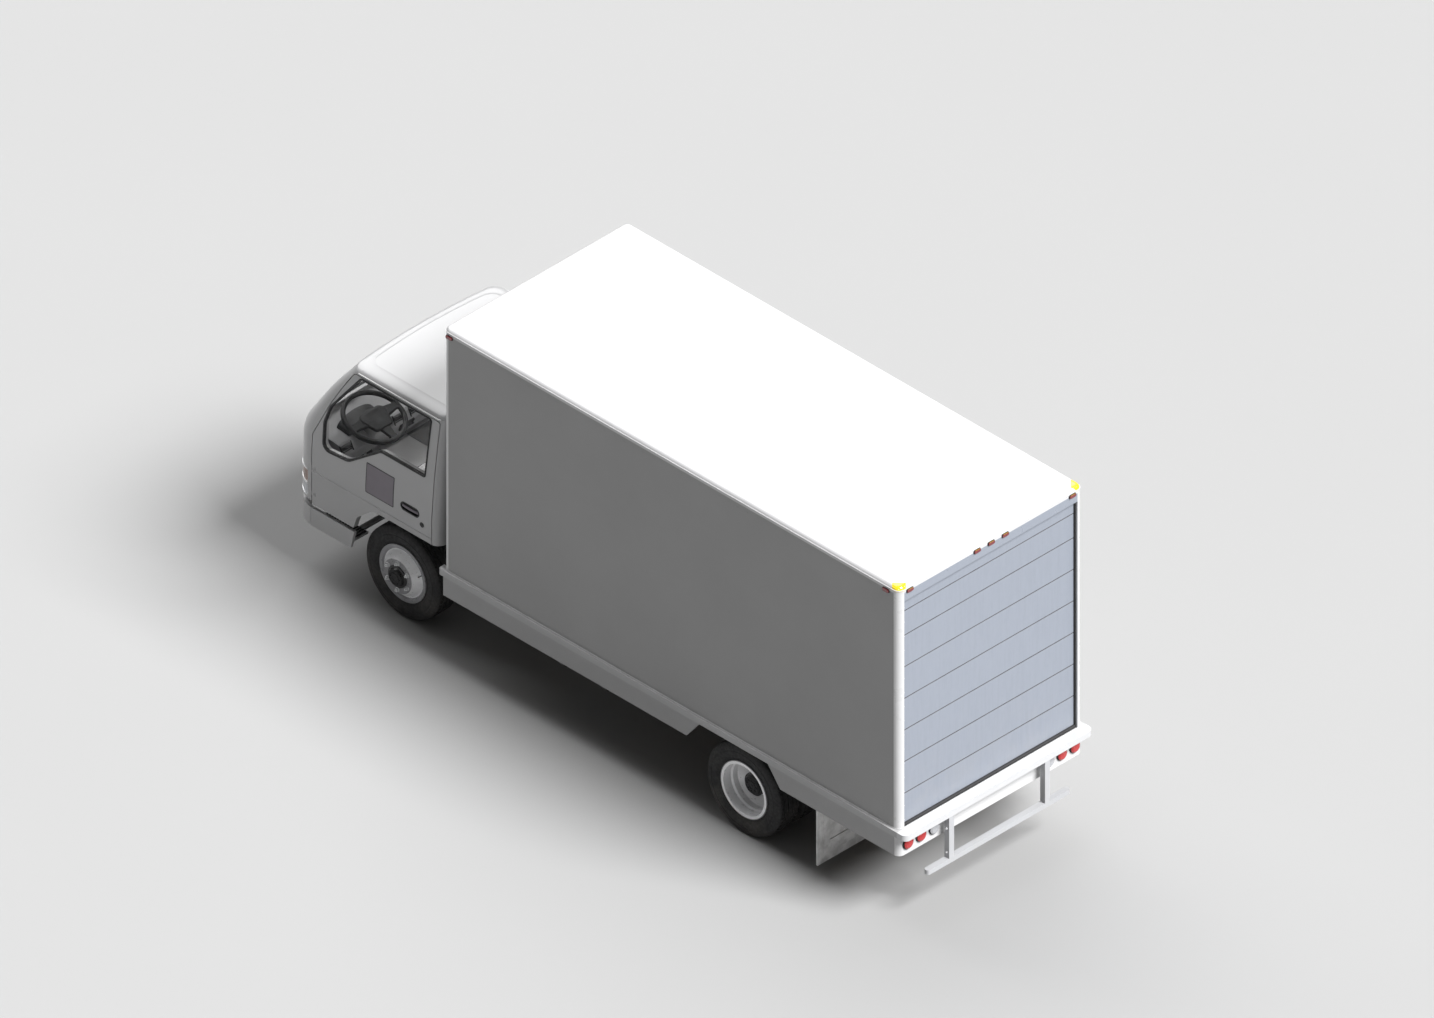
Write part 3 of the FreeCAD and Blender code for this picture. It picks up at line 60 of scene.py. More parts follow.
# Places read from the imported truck
FRONT_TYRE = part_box("tyre_front_left")
REAR_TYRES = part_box("tyre_rear_left")
AXLE_HEIGHT = (FRONT_TYRE[1][2] + FRONT_TYRE[0][2]) / 2
TYRE_RADIUS = (FRONT_TYRE[1][2] - FRONT_TYRE[0][2]) / 2
TYRE_WIDTH = FRONT_TYRE[1][1] - FRONT_TYRE[0][1]
FRONT_AXLE_X = (FRONT_TYRE[0][0] + FRONT_TYRE[1][0]) / 2
REAR_AXLE_X = (REAR_TYRES[0][0] + REAR_TYRES[1][0]) / 2
TYRE_MIDDLE_FRONT = (FRONT_TYRE[0][1] + FRONT_TYRE[1][1]) / 2
TYRE_MIDDLE_OUTER = REAR_TYRES[1][1] - TYRE_WIDTH / 2
TYRE_MIDDLE_INNER = REAR_TYRES[0][1] + TYRE_WIDTH / 2
REAR_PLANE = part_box("body_roof")[0][0]

# Shader building

WHITE = (0.5, 0.5, 0.505)
DUST = (0.33, 0.3, 0.26)
DOOR_COLOUR = (0.205, 0.225, 0.265)
DOOR_SEAMS = (2.851, 2.626, 2.335, 2.044, 1.753, 1.462, 1.171)
MATERIALS = {}
POST_EDGE = 0.9215


class Shader:
    """A node material on one principled shader, with the few nodes that the truck's finishes share."""

    def __init__(self, name):
        MATERIALS[name] = bpy.data.materials.new(name)
        MATERIALS[name].use_nodes = True
        self.tree = MATERIALS[name].node_tree
        self.surface = next(n for n in self.tree.nodes if n.type == "BSDF_PRINCIPLED")
        self.place = self.tree.nodes.new("ShaderNodeTexCoord").outputs["Object"]

    def feed(self, socket, value):
        if isinstance(value, bpy.types.NodeSocket):
            self.tree.links.new(value, socket)
        elif isinstance(value, tuple):
            socket.default_value = value + (1.0,) * (len(socket.default_value) - len(value))
        else:
            socket.default_value = value

    def fill(self, node, values):
        for name, value in values.items():
            self.feed(node.inputs[name.replace("_", " ")], value)

    def set(self, **values):
        self.fill(self.surface, values)

    def add(self, kind, output, **values):
        """Add a node, feed its inputs by name, and give one of its outputs."""
        node = self.tree.nodes.new("ShaderNode" + kind)
        self.fill(node, values)
        return node.outputs[output]

    def stretched(self, x, y, z):
        return self.add("Mapping", "Vector", Scale=(x, y, z), Vector=self.place)

    def noise(self, scale, detail=3.0, place=None):
        return self.add("TexNoise", "Fac", Scale=scale, Detail=detail, Roughness=0.55, Vector=place or self.place)

    def cells(self, scale):
        return self.add("TexVoronoi", "Distance", Scale=scale, Vector=self.place)

    def axis(self, name):
        return self.add("SeparateXYZ", name, Vector=self.place)

    def waves(self, scale, direction):
        bands = self.add("TexWave", "Fac", Scale=scale, Vector=self.place)
        bands.node.bands_direction = direction
        return bands

    def ramp(self, value, low, high, out_low=0.0, out_high=1.0, kind="SMOOTHSTEP"):
        result = self.add("MapRange", "Result", Value=value, From_Min=low, From_Max=high, To_Min=out_low,
                          To_Max=out_high)
        result.node.interpolation_type = kind
        return result

    def math(self, operation, *values):
        node = self.tree.nodes.new("ShaderNodeMath")
        node.operation = operation
        for socket, value in zip(node.inputs, values):
            self.feed(socket, value)
        return node.outputs["Value"]

    def mix(self, factor, first, second):
        node = self.tree.nodes.new("ShaderNodeMix")
        node.data_type = "RGBA"
        for socket, value in ((node.inputs["Factor"], factor), (node.inputs[6], first), (node.inputs[7], second)):
            self.feed(socket, value)
        return node.outputs[2]

    def away_from(self, x, z):
        """Distance from a wheel's axle line."""
        across = self.math("SUBTRACT", self.axis("X"), x)
        up = self.math("SUBTRACT", self.axis("Z"), z)
        squares = self.math("ADD", self.math("MULTIPLY", across, across), self.math("MULTIPLY", up, up))
        return self.math("SQRT", squares)

    def clouded(self, colour, share, scale, detail, low=0.3):
        """A colour that drifts into a darker share of itself."""
        return self.mix(self.ramp(self.noise(scale, detail), low, 0.7), colour, tuple(c * share for c in colour))

    def dusted(self, colour, low, high, amount):
        """Road dust that thins out with height, broken up by two noises."""
        height = self.ramp(self.axis("Z"), low, high, amount, 0.0)
        patches = self.ramp(self.noise(5.0, 6.0), 0.35, 0.75)
        grain = self.ramp(self.noise(60.0), 0.3, 0.8, 0.5, 1.0)
        return self.mix(self.math("MULTIPLY", self.math("MULTIPLY", height, patches), grain), colour, DUST)

    def gloss(self, scale, detail, smoothest, roughest, low=0.3, high=0.7):
        """Roughness that wanders between two values."""
        self.set(Roughness=self.ramp(self.noise(scale, detail), low, high, smoothest, roughest))

    def bump(self, height, distance):
        self.set(Normal=self.add("Bump", "Normal", Height=height, Distance=distance))


def paint(name, colour, roughness=0.3, coat=0.4, tint=0.94, dust=0.25):
    """Sprayed metal: slight patchiness, fine orange peel, a gloss that hardly varies, and dust low down."""
    shader = Shader(name)
    gloss = shader.ramp(shader.noise(2.2, 1.0), 0.2, 0.8, roughness + 0.01, roughness + 0.05, "LINEAR")
    shader.set(Base_Color=shader.dusted(shader.clouded(colour, tint, 1.3, 4.0), 0.3, 1.5, dust), Coat_Weight=coat,
               Coat_Roughness=0.12, Roughness=gloss)
    shader.bump(shader.noise(150.0, 2.0), 0.00008)


def sprayed(shader, body, dust, coat, smoothest, roughest):
    """What two spray finishes in more than one colour share: dust, scuffs in the gloss, and orange peel."""
    shader.set(Base_Color=shader.dusted(body, 0.3, 1.5, dust), Coat_Weight=coat, Coat_Roughness=0.12)
    shader.gloss(11.0, 8.0, smoothest, roughest, 0.3, 0.75)
    shader.bump(shader.noise(320.0, 2.0), 0.0002)


def side_shade_two_tone(name, side, rear, seam):
    """Spray finish in a darker colour along the truck's sides, as painted shade of their shaded faces, and in a
    lighter one on its rear.
    """
    shader = Shader(name)
    body = shader.mix(shader.ramp(shader.axis("X"), seam - 0.004, seam + 0.004), rear, side)
    shade = shader.ramp(shader.noise(1.3, 4.0), 0.3, 0.7, 0.0, 0.05)
    sprayed(shader, shader.mix(shade, body, (0.0, 0.0, 0.0)), 0.1, 0.2, 0.37, 0.47)


def rear_frame_paint(name):
    """White corner posts, with the header between them in the roll-up door's colour."""
    shader = Shader(name)
    between = shader.ramp(shader.math("ABSOLUTE", shader.axis("Y")), POST_EDGE, POST_EDGE + 0.001, 1.0, 0.0, "LINEAR")
    header = shader.math("MULTIPLY", between, shader.ramp(shader.axis("Z"), 2.96, 2.965))
    sprayed(shader, shader.mix(header, WHITE, DOOR_COLOUR), 0.12, 0.4, 0.26, 0.44)


def chassis_paint(name, colour, roughness=0.5):
    """Thick satin paint with brushed-on waviness, chips and a good deal of road dust."""
    shader = Shader(name)
    chips = shader.math("MULTIPLY", shader.ramp(shader.cells(45.0), 0.02, 0.07, 1.0, 0.0),
                        shader.ramp(shader.noise(4.0), 0.55, 0.7))
    shader.set(Base_Color=shader.dusted(shader.mix(chips, colour, (0.16, 0.12, 0.09)), 0.15, 1.1, 0.5))
    shader.gloss(14.0, 5.0, roughness - 0.1, roughness + 0.2)
    shader.bump(shader.noise(90.0, 4.0), 0.0006)


def cast_metal(name, colour):
    shader = Shader(name)
    shader.set(Base_Color=shader.dusted(shader.clouded(colour, 0.6, 7.0, 5.0, 0.35), 0.1, 1.0, 0.4), Metallic=0.6)
    shader.gloss(30.0, 4.0, 0.45, 0.7)
    shader.bump(shader.noise(160.0, 5.0), 0.0008)


def steel(name, colour, roughness, metallic):
    """Bare or plated steel, brushed along the truck."""
    shader = Shader(name)
    brushed = shader.noise(40.0, 6.0, shader.stretched(0.4, 6.0, 6.0))
    shader.set(Base_Color=shader.clouded(colour, 0.82, 6.0, 4.0, 0.4), Metallic=metallic,
               Roughness=shader.ramp(brushed, 0.3, 0.7, roughness - 0.08, roughness + 0.12))
    shader.bump(brushed, 0.0002)


def plastic(name, colour, roughness=0.5, grain=420.0, depth=0.0004):
    """Moulded plastic with a leather-like grain."""
    shader = Shader(name)
    shader.set(Base_Color=shader.clouded(colour, 0.88, 3.0, 3.0))
    shader.gloss(25.0, 3.0, roughness - 0.05, roughness + 0.1)
    shader.bump(shader.cells(grain), depth)


def rubber(name, colour, roughness, dust):
    shader = Shader(name)
    shader.set(Base_Color=shader.dusted(shader.clouded(colour, 0.7, 12.0, 5.0, 0.35), -0.1, 0.9, dust))
    shader.gloss(50.0, 4.0, roughness - 0.1, roughness + 0.12)
    shader.bump(shader.noise(260.0), 0.0004)


def glass(name, colour, alpha):
    """Thin tinted pane that light falls through, with faint smears in its gloss."""
    shader = Shader(name)
    shader.set(Base_Color=shader.clouded(colour, 0.8, 2.0, 3.0), Alpha=alpha, IOR=1.5)
    shader.gloss(6.0, 5.0, 0.02, 0.07, 0.4, 0.8)
    shader.bump(shader.noise(1.5, 1.0), 0.0002)


def lens(name, lower, upper, axis, seam, glow=0.05):
    """Moulded lamp lens that changes colour at a seam along an axis, with prisms pressed in its back."""
    shader = Shader(name)
    place = shader.axis(axis)
    if axis == "Y":
        place = shader.math("ABSOLUTE", place)
    colour = shader.mix(shader.ramp(place, seam - 0.002, seam + 0.002), lower, upper)
    prisms = shader.math("MULTIPLY", shader.waves(28.0, "Y"), shader.waves(28.0, "Z"))
    shaded = shader.mix(shader.ramp(prisms, 0.0, 1.0, 0.75, 1.0), (0.02, 0.01, 0.01), colour)
    shader.set(Base_Color=shaded, Coat_Weight=0.8, Emission_Color=shaded, Emission_Strength=glow)
    shader.gloss(12.0, 3.0, 0.08, 0.2)
    shader.bump(prisms, 0.0015)


def lit_lens(name, strength):
    """Milky lens of the cab's roof lamp, switched on."""
    shader = Shader(name)
    prisms = shader.waves(90.0, "Y")
    shader.set(Base_Color=(0.85, 0.85, 0.82), Roughness=shader.ramp(prisms, 0.0, 1.0, 0.25, 0.4),
               Emission_Color=(1.0, 0.99, 0.96), Emission_Strength=strength)
    shader.bump(prisms, 0.001)


def slatted_door(name):
    """Roll-up door slats: coil-coated steel with faint streaks down each slat and dirt in the joints."""
    shader = Shader(name)
    streaks = shader.noise(10.0, 6.0, shader.stretched(1.0, 5.0, 0.35))
    body = shader.mix(shader.ramp(streaks, 0.35, 0.75), DOOR_COLOUR, tuple(c * 0.95 for c in DOOR_COLOUR))
    joints = 0.0
    for level in DOOR_SEAMS:
        away = shader.math("ABSOLUTE", shader.math("SUBTRACT", shader.axis("Z"), level))
        joints = shader.math("MAXIMUM", joints, shader.ramp(away, 0.0035, 0.0065, 1.0, 0.0))
    shader.set(Base_Color=shader.mix(joints, shader.dusted(body, 0.8, 1.6, 0.15), (0.03, 0.03, 0.035)),
               Coat_Weight=0.25)
    shader.gloss(16.0, 5.0, 0.32, 0.46)
    shader.bump(shader.noise(180.0), 0.0002)


def boards(name):
    """Hardwood deck boards that run along the body."""
    shader = Shader(name)
    grain = shader.noise(12.0, 8.0, shader.stretched(0.25, 6.0, 6.0))
    body = shader.mix(shader.ramp(grain, 0.3, 0.7), (0.33, 0.22, 0.13), (0.22, 0.14, 0.08))
    seams = shader.ramp(shader.waves(1.15, "Y"), 0.0, 0.02, 1.0, 0.0)
    shader.set(Base_Color=shader.mix(seams, body, (0.05, 0.04, 0.03)),
               Roughness=shader.ramp(grain, 0.3, 0.7, 0.5, 0.75))
    shader.bump(grain, 0.0008)


def cloth(name, colour):
    """Seat cloth: a plain weave with sheen and slightly rubbed high spots."""
    shader = Shader(name)
    threads = shader.math("MULTIPLY", shader.waves(90.0, "X"), shader.waves(90.0, "Y"))
    body = shader.mix(shader.ramp(threads, 0.0, 0.6, 0.35, 0.0), shader.clouded(colour, 0.8, 9.0, 4.0, 0.35),
                      tuple(c * 0.5 for c in colour))
    shader.set(Base_Color=body, Sheen_Weight=0.3)
    shader.gloss(30.0, 3.0, 0.8, 0.95)
    shader.bump(threads, 0.0006)


def wheel_paint(name, axle_x, hub_radius, highlight_band):
    """Silver wheel paint: black hub, grey nut face, a near-white band outside it on the sloping ring or barrel that
    is a painted highlight, and a darker rolled lip.
    """
    shader = Shader(name)
    reach = shader.away_from(axle_x, AXLE_HEIGHT)
    inner, outer = highlight_band
    brake_dust = shader.ramp(shader.noise(20.0, 5.0), 0.35, 0.75, 0.0, 0.35)
    face = shader.mix(brake_dust, (0.24, 0.24, 0.25), (0.16, 0.155, 0.15))
    # The ring outside the nut face is painted near white: a painted highlight, far lighter than the grey face of the
    # same silver paint.
    bright = shader.mix(brake_dust, (0.95, 0.95, 0.96), (0.8, 0.8, 0.8))
    body = shader.mix(shader.ramp(reach, inner - 0.002, inner + 0.004), face, bright)
    body = shader.mix(shader.ramp(reach, outer - 0.002, outer + 0.002), body, (0.26, 0.26, 0.27))
    hub = shader.ramp(reach, hub_radius - 0.001, hub_radius + 0.001, 1.0, 0.0)
    shader.set(Base_Color=shader.mix(hub, body, (0.005, 0.005, 0.005)), Metallic=0.15, Coat_Weight=0.2)
    shader.gloss(35.0, 4.0, 0.26, 0.42)
    shader.bump(shader.noise(240.0), 0.0003)


def make_materials():
    paint("body_paint", WHITE, dust=0.08)
    # Side wall panels are painted mid grey, darker than the white roof: painted shade of the shaded sides.
    paint("panel_paint", (0.255, 0.255, 0.255), 0.42, 0.15, dust=0.08)
    paint("cab_paint", (0.33, 0.33, 0.334), 0.3, 0.5, 0.97, 0.06)
    paint("guard_steel", (0.37, 0.375, 0.39), 0.4, 0.1, dust=0.15)
    rear_frame_paint("rear_frame_paint")
    # Skirts and rails are grey along the sides as painted shade, and white on the rear.
    side_shade_two_tone("skirt_paint", (0.29, 0.29, 0.292), (0.52, 0.52, 0.525), REAR_PLANE + 0.05)
    side_shade_two_tone("rail_paint", (0.33, 0.33, 0.335), (0.46, 0.465, 0.475), REAR_PLANE)
    slatted_door("door_paint")
    chassis_paint("frame_black", (0.018, 0.018, 0.02))
    chassis_paint("tank_black", (0.03, 0.03, 0.032), 0.4)
    cast_metal("cast_metal", (0.12, 0.12, 0.125))
    cast_metal("engine_alloy", (0.34, 0.34, 0.35))
    steel("exhaust_steel", (0.36, 0.34, 0.31), 0.5, 0.9)
    steel("chrome", (0.86, 0.87, 0.88), 0.22, 0.45)
    boards("deck_wood")
    glass("window_glass", (0.03, 0.033, 0.033), 0.07)
    lens("front_lens", (0.52, 0.54, 0.57), (0.17, 0.055, 0.006), "Z", 0.816, 0.0)
    lens("tail_lens", (0.4, 0.41, 0.43), (0.42, 0.008, 0.01), "Y", 0.68)
    lens("marker_lens", (0.16, 0.006, 0.01), (0.8, 0.6, 0.012), "Z", 3.0655)
    lit_lens("lit_lens", 100.0)
    plastic("cabin_plastic", (0.3, 0.3, 0.305))
    plastic("cabin_pale", (0.7, 0.7, 0.71))
    plastic("black_plastic", (0.016, 0.016, 0.017), 0.42)
    plastic("plate_film", (0.17, 0.15, 0.175), 0.35, 500.0, 0.00005)
    rubber("tyre_rubber", (0.017, 0.017, 0.018), 0.75, 0.2)
    rubber("flap_rubber", (0.72, 0.72, 0.72), 0.6, 0.15)
    rubber("black_rubber", (0.01, 0.01, 0.011), 0.6, 0.0)
    cloth("seat_fabric", (0.85, 0.85, 0.86))
    wheel_paint("front_wheel_paint", FRONT_AXLE_X, 0.0955, (0.146, 0.206))
    wheel_paint("rear_wheel_paint", REAR_AXLE_X, 0.0965, (0.139, 0.24))


# Nodes whose finish isn't their slot's own
FINISH = {
    "body_side_walls": "panel_paint", "body_rear_frame": "rear_frame_paint", "skirts": "skirt_paint",
    "cab_floor": "cabin_pale", "front_lamps": "front_lens", "tail_lamps": "tail_lens",
    "marker_lamps": "marker_lens", "wheel_front_left": "front_wheel_paint",
    "wheel_front_right": "front_wheel_paint", "wheel_rear_left": "rear_wheel_paint",
    "wheel_rear_right": "rear_wheel_paint",
}


def finish_nodes():
    slots = {part["node"]: part["material_slot"] for part in frame["record"]["subparts"]}
    for name, node in NODES.items():
        material = MATERIALS[FINISH.get(name, slots[name])]
        if not node.data.materials:
            node.data.materials.append(material)
        for slot in node.material_slots:
            slot.material = material


# Forms built up from turned and swept parts

def new_object(name, mesh, material, body, smooth_angle):
    piece = bpy.data.objects.new(name, mesh)
    bpy.context.scene.collection.objects.link(piece)
    mesh.materials.append(MATERIALS[material])
    for polygon in mesh.polygons:
        polygon.use_smooth = True
    if smooth_angle:
        mesh.set_sharp_from_angle(angle=radians(smooth_angle))
    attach(piece, body)
    return piece


class Form:
    """Faces of one piece, gathered from turned, swept and flat parts."""

    def __init__(self):
        self.points = []
        self.faces = []

    def rings(self, rings, joined=False):
        """Skin over closed rings of points; the ends are capped unless the last ring joins the first."""
        base = len(self.points)
        count = len(rings[0])
        self.points += [tuple(p) for ring in rings for p in ring]
        for i in range(len(rings) - (0 if joined else 1)):
            near = base + i * count
            far = base + (i + 1) % len(rings) * count
            for j in range(count):
                k = (j + 1) % count
                self.faces.append((near + j, near + k, far + k, far + j))
        if not joined:
            last = base + (len(rings) - 1) * count
            self.faces.append(tuple(range(base + count - 1, base - 1, -1)))
            self.faces.append(tuple(range(last, last + count)))
        return self

    def turned(self, centre, axis, profile, count=24):
        """Turn (along, radius) points about an axis."""
        axis = Vector(axis).normalized()
        side = axis.orthogonal().normalized()
        up = axis.cross(side)
        ways = [side * cos(t) + up * sin(t) for t in circle(count)]
        return self.rings([[Vector(centre) + axis * along + way * radius for way in ways]
                           for along, radius in profile])

    def swept(self, path, section, normal, joined=False):
        """Carry a section of (beside, above) points along a path, kept upright to one normal."""
        path = [Vector(p) for p in path]
        rings = []
        for i, here in enumerate(path):
            before = path[i - 1] if i or joined else here
            after = path[(i + 1) % len(path)] if i + 1 < len(path) or joined else here
            along = (after - before).normalized()
            beside = along.cross(Vector(normal)).normalized()
            above = beside.cross(along)
            rings.append([here + beside * a + above * b for a, b in section])
        return self.rings(rings, joined)

    def tube(self, path, radius, normal=(0, 0, 1), count=10, joined=False):
        return self.swept(path, [(radius * cos(t), radius * sin(t)) for t in circle(count)], normal, joined)

    def plate(self, outline, depth):
        """A flat plate: points of its outline, and a vector for its depth."""
        return self.rings([outline, [Vector(p) + Vector(depth) for p in outline]])

    def side_plate(self, outline, y, depth):
        """A plate drawn as (x, z) points seen from the side, from y over its depth."""
        return self.plate([at(x, y, z) for x, z in outline], (0, depth, 0))

    def front_plate(self, outline, x, depth):
        """A plate drawn as (y, z) points seen from the front, from x over its depth."""
        return self.plate([at(x, y, z) for y, z in outline], (depth, 0, 0))

    def block(self, low, high):
        (x0, y0, z0), (x1, y1, z1) = low, high
        return self.plate([(x0, y0, z0), (x1, y0, z0), (x1, y1, z0), (x0, y1, z0)], (0, 0, z1 - z0))

    def mesh(self, name):
        """The gathered faces as a mesh, all turned outward."""
        mesh = bpy.data.meshes.new(name)
        mesh.from_pydata(self.points, [], self.faces)
        work = bmesh.new()
        work.from_mesh(mesh)
        bmesh.ops.recalc_face_normals(work, faces=work.faces)
        work.to_mesh(mesh)
        work.free()
        return mesh

    def piece(self, name, material, body, slot=None, smooth=35.0, bevel=0.0):
        """The finished piece; its slot has its material. The slot argument is not used."""
        piece = new_object(name, self.mesh(name), material, body, smooth)
        if bevel:
            rounding = piece.modifiers.new("rounding", "BEVEL")
            rounding.width = bevel
            rounding.segments = 2
            rounding.limit_method = "ANGLE"
        return piece


def mm(*row):
    """Points (a, b) from a row of millimetres."""
    return [(a / 1000, b / 1000) for a, b in zip(row[::2], row[1::2])]


def mm3(*row):
    """Points (a, b, c) from a row of millimetres."""
    return [(a / 1000, b / 1000, c / 1000) for a, b, c in zip(row[::3], row[1::3], row[2::3])]


def spaced(start, step, count):
    return [start + step * i for i in range(count)]


def circle(count):
    return [2 * pi * i / count for i in range(count)]


def arc(first, last, count):
    # Angles spread evenly from one to another, both given in degrees
    return [radians(first + (last - first) * i / (count - 1)) for i in range(count)]


def at(x, y, z):
    """A place given from the point below the front axle, as the truck was drawn."""
    return Vector((x + FRONT_AXLE_X, y, z))


def rounded(points, steps=5):
    """A closed outline through (a, b, radius) points, each corner rounded by its radius."""
    outline = []
    for i, (a, b, radius) in enumerate(points):
        here = Vector((a, b))
        to_before = (Vector(points[i - 1][:2]) - here).normalized()
        to_after = (Vector(points[(i + 1) % len(points)][:2]) - here).normalized()
        half = to_before.angle(to_after) / 2
        if radius <= 0 or half > radians(89.5):
            outline.append(here)
            continue
        reach = radius / tan(half)
        centre = here + (to_before + to_after).normalized() * (radius / sin(half))
        first = (here + to_before * reach - centre).normalized()
        last = (here + to_after * reach - centre).normalized()
        outline += [centre + first.slerp(last, k / steps) * radius for k in range(steps + 1)]
    return outline


def rectangle(a0, a1, b0, b1, radius):
    return [(a0, b0, radius), (a1, b0, radius), (a1, b1, radius), (a0, b1, radius)]


def tree_of(mesh):
    return BVHTree.FromPolygons([v.co.copy() for v in mesh.vertices], [tuple(p.vertices) for p in mesh.polygons])


TREES = {}
# Where rays start, clear of the truck
CLEAR_SIDE = 2.0
CLEAR_END = 5.0


def skin(node, start, direction):
    """Place and outward normal where a ray first meets a CAD node."""
    if node not in TREES:
        TREES[node] = tree_of(NODES[node].data)
    direction = Vector(direction)
    place, normal = TREES[node].ray_cast(Vector(start), direction)[:2]
    return place, normal if normal.dot(direction) < 0 else -normal


def from_side(sign):
    """Reading of (x, z) points on the left or right side of the truck: their places and the ray's way."""
    return lambda p: at(p[0], sign * CLEAR_SIDE, p[1]), Vector((0, -sign, 0))


def from_front(p):
    return Vector((CLEAR_END, *p))


def from_rear(p):
    return Vector((-CLEAR_END, *p))


GASKET = mm(-6, -22, -0.3, -22, -0.3, 0.4, 10, 0.4, 11, 1.5, 8, 3.5, -4, 3.5, -6, 1)
WAIST_BEAD = mm(-9, -1, 9, -1, 7.5, 3.5, 3, 5.8, -3, 5.8, -7.5, 3.5)


def trim(form, outline, place, way, node, section, reach=0.008):
    """Carry a section of (outward, above) points round an outline, on the skin of a CAD node."""
    count = len(outline)
    area = sum(outline[i - 1].x * outline[i].y - outline[i].x * outline[i - 1].y for i in range(count))
    rings = []
    for i, point in enumerate(outline):
        along = (outline[(i + 1) % count] - outline[i - 1]).normalized()
        away = Vector((along.y, -along.x)) * (1 if area > 0 else -1)
        found, above = skin(node, place(point + away * reach), way)
        outward = place(away) - place((0, 0))
        outward = (outward - above * outward.dot(above)).normalized()
        rings.append([found + outward * (a - reach) + above * b for a, b in section])
    return form.rings(rings, joined=True)


def strip(form, points, place, way, node, section):
    """Carry a section along points on the skin of a CAD node."""
    found = [skin(node, place(p), way) for p in points]
    return form.swept([spot for spot, above in found], section, found[len(found) // 2][1])


def patch(form, corners, place, way, node, proud, steps=6):
    """A thin sheet laid on the skin of a CAD node."""
    x0, x1, z0, z1 = corners
    rows = []
    for i in range(steps + 1):
        row = []
        for j in range(steps + 1):
            found, above = skin(node, place((x0 + (x1 - x0) * i / steps, z0 + (z1 - z0) * j / steps)), way)
            row.append((found - above * 0.0005, found + above * proud))
        rows.append([low for low, high in row] + [high for low, high in reversed(row)])
    return form.rings(rows)


# Wheels, tyres and brakes

FRONT_DISC_FACE = 0.8145
FRONT_HUB_END = 0.8425
TWIN_SEAM = 0.7085
REAR_DISC_FACE = TWIN_SEAM + 0.024
REAR_HUB_END = TWIN_SEAM + 0.148
NUT_COUNT = 6
TREAD_PITCHES = 56


def tread_depth(across, turn):
    """How deep the tread is cut at one place: four grooves round the tyre, and slots in its outer ribs."""
    for groove in (0.024, 0.06):
        if abs(abs(across) - groove) < 0.0045:
            return 0.011
    phase = (turn * TREAD_PITCHES / (2 * pi) + across * 18.0) % 1.0
    if abs(across) > 0.0645 and phase < 0.26:
        return 0.009
    if abs(across) < 0.056 and phase < 0.1:
        return 0.004
    return 0.0


def tyre_rings():
    """Cross-section of the tyre from the inner bead, over the tread, to the outer bead, as (across, radius)."""
    half = TYRE_WIDTH / 2
    side = mm(92, 226.2, 92, 250, 96.5, 259, 101.5, 268, 101, 270.5, 106.5, 285)
    side += [(half - inset, radius) for inset, radius in mm(
        1.2, 306, 0.4, 318, 0, 324, 2.2, 326.5, 2.2, 338, 0, 340.5, 0.8, 350, 3.5, 366, 8.5, 379, 15, 388.5,
        22.5, 394.5)]
    edges = [0.0885, 0.079, 0.065, 0.064, 0.0558, 0.055, 0.045, 0.035, 0.029, 0.028, 0.02, 0.019, 0.01]
    right = side + [(across, TYRE_RADIUS - 0.003 * (across / 0.09) ** 2) for across in edges]
    return [(-a, r) for a, r in right] + [(0.0, TYRE_RADIUS)] + [(a, r) for a, r in reversed(right)]


def tyre(name, x, middles, body, node):
    form = Form()
    for middle in middles:
        rings = []
        for turn in circle(TREAD_PITCHES * 4):
            ring = []
            for across, radius in tyre_rings():
                if abs(across) < 0.09:
                    radius -= tread_depth(across, turn)
                ring.append((x + radius * cos(turn), middle + across, AXLE_HEIGHT + radius * sin(turn)))
            rings.append(ring)
        form.rings(rings, joined=True)
    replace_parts(new_object(name, form.mesh(name), "tyre_rubber", body, 28.0), node)


def tyres():
    for side, sign in SIDES:
        tyre("front_tyre_" + side, FRONT_AXLE_X, [sign * TYRE_MIDDLE_FRONT], "front_%s_wheel" % side,
             "tyre_front_" + side)
        tyre("rear_tyres_" + side, REAR_AXLE_X, [sign * TYRE_MIDDLE_OUTER, sign * TYRE_MIDDLE_INNER],
             "rear_%s_wheels" % side, "tyre_rear_" + side)


def ring_of(count, x, y, radius, phase=30.0):
    turns = [radians(phase + 360.0 * i / count) for i in range(count)]
    return [Vector((x + radius * cos(t), y, AXLE_HEIGHT + radius * sin(t))) for t in turns]


def wheel_nuts(name, x, face, radius, size, sign, material, body):
    form = Form()
    for place in ring_of(NUT_COUNT, x, sign * face, radius):
        for profile, count in (([(-0.001, 1.3), (0.003, 1.3), (0.005, 1.12)], 18),
                               ([(0.004, 1.0), (0.016, 1.0), (0.02, 0.86), (0.0205, 0.5)], 6),
                               ([(0.02, 0.48), (0.029, 0.48), (0.031, 0.34)], 12)):
            form.turned(place, (0, sign, 0), [(along, size * share) for along, share in profile], count)
    form.piece(name, material, body, "rim_paint", 25.0)


def hub_cap(name, x, face, sign, bolts, body):
    """Rings pressed into the hub's end, and the bolts of its cover."""
    form = Form()
    form.turned((x, sign * face, AXLE_HEIGHT), (0, sign, 0),
                mm(-2, 68.5, 3, 68.5, 4.5, 66, 4.5, 58, 1.5, 55, 1.5, 41, 6, 38, 6, 29, 3, 27, 3, 12, 4.5, 10,
                   4.5, 4), 40)
    for place in ring_of(bolts, x, sign * face, 0.048, 0.0):
        form.turned(place, (0, sign, 0), mm(1, 6.2, 6.2, 6.2, 7.2, 5), 6)
    form.piece(name, "black_rubber", body, "rim_paint")


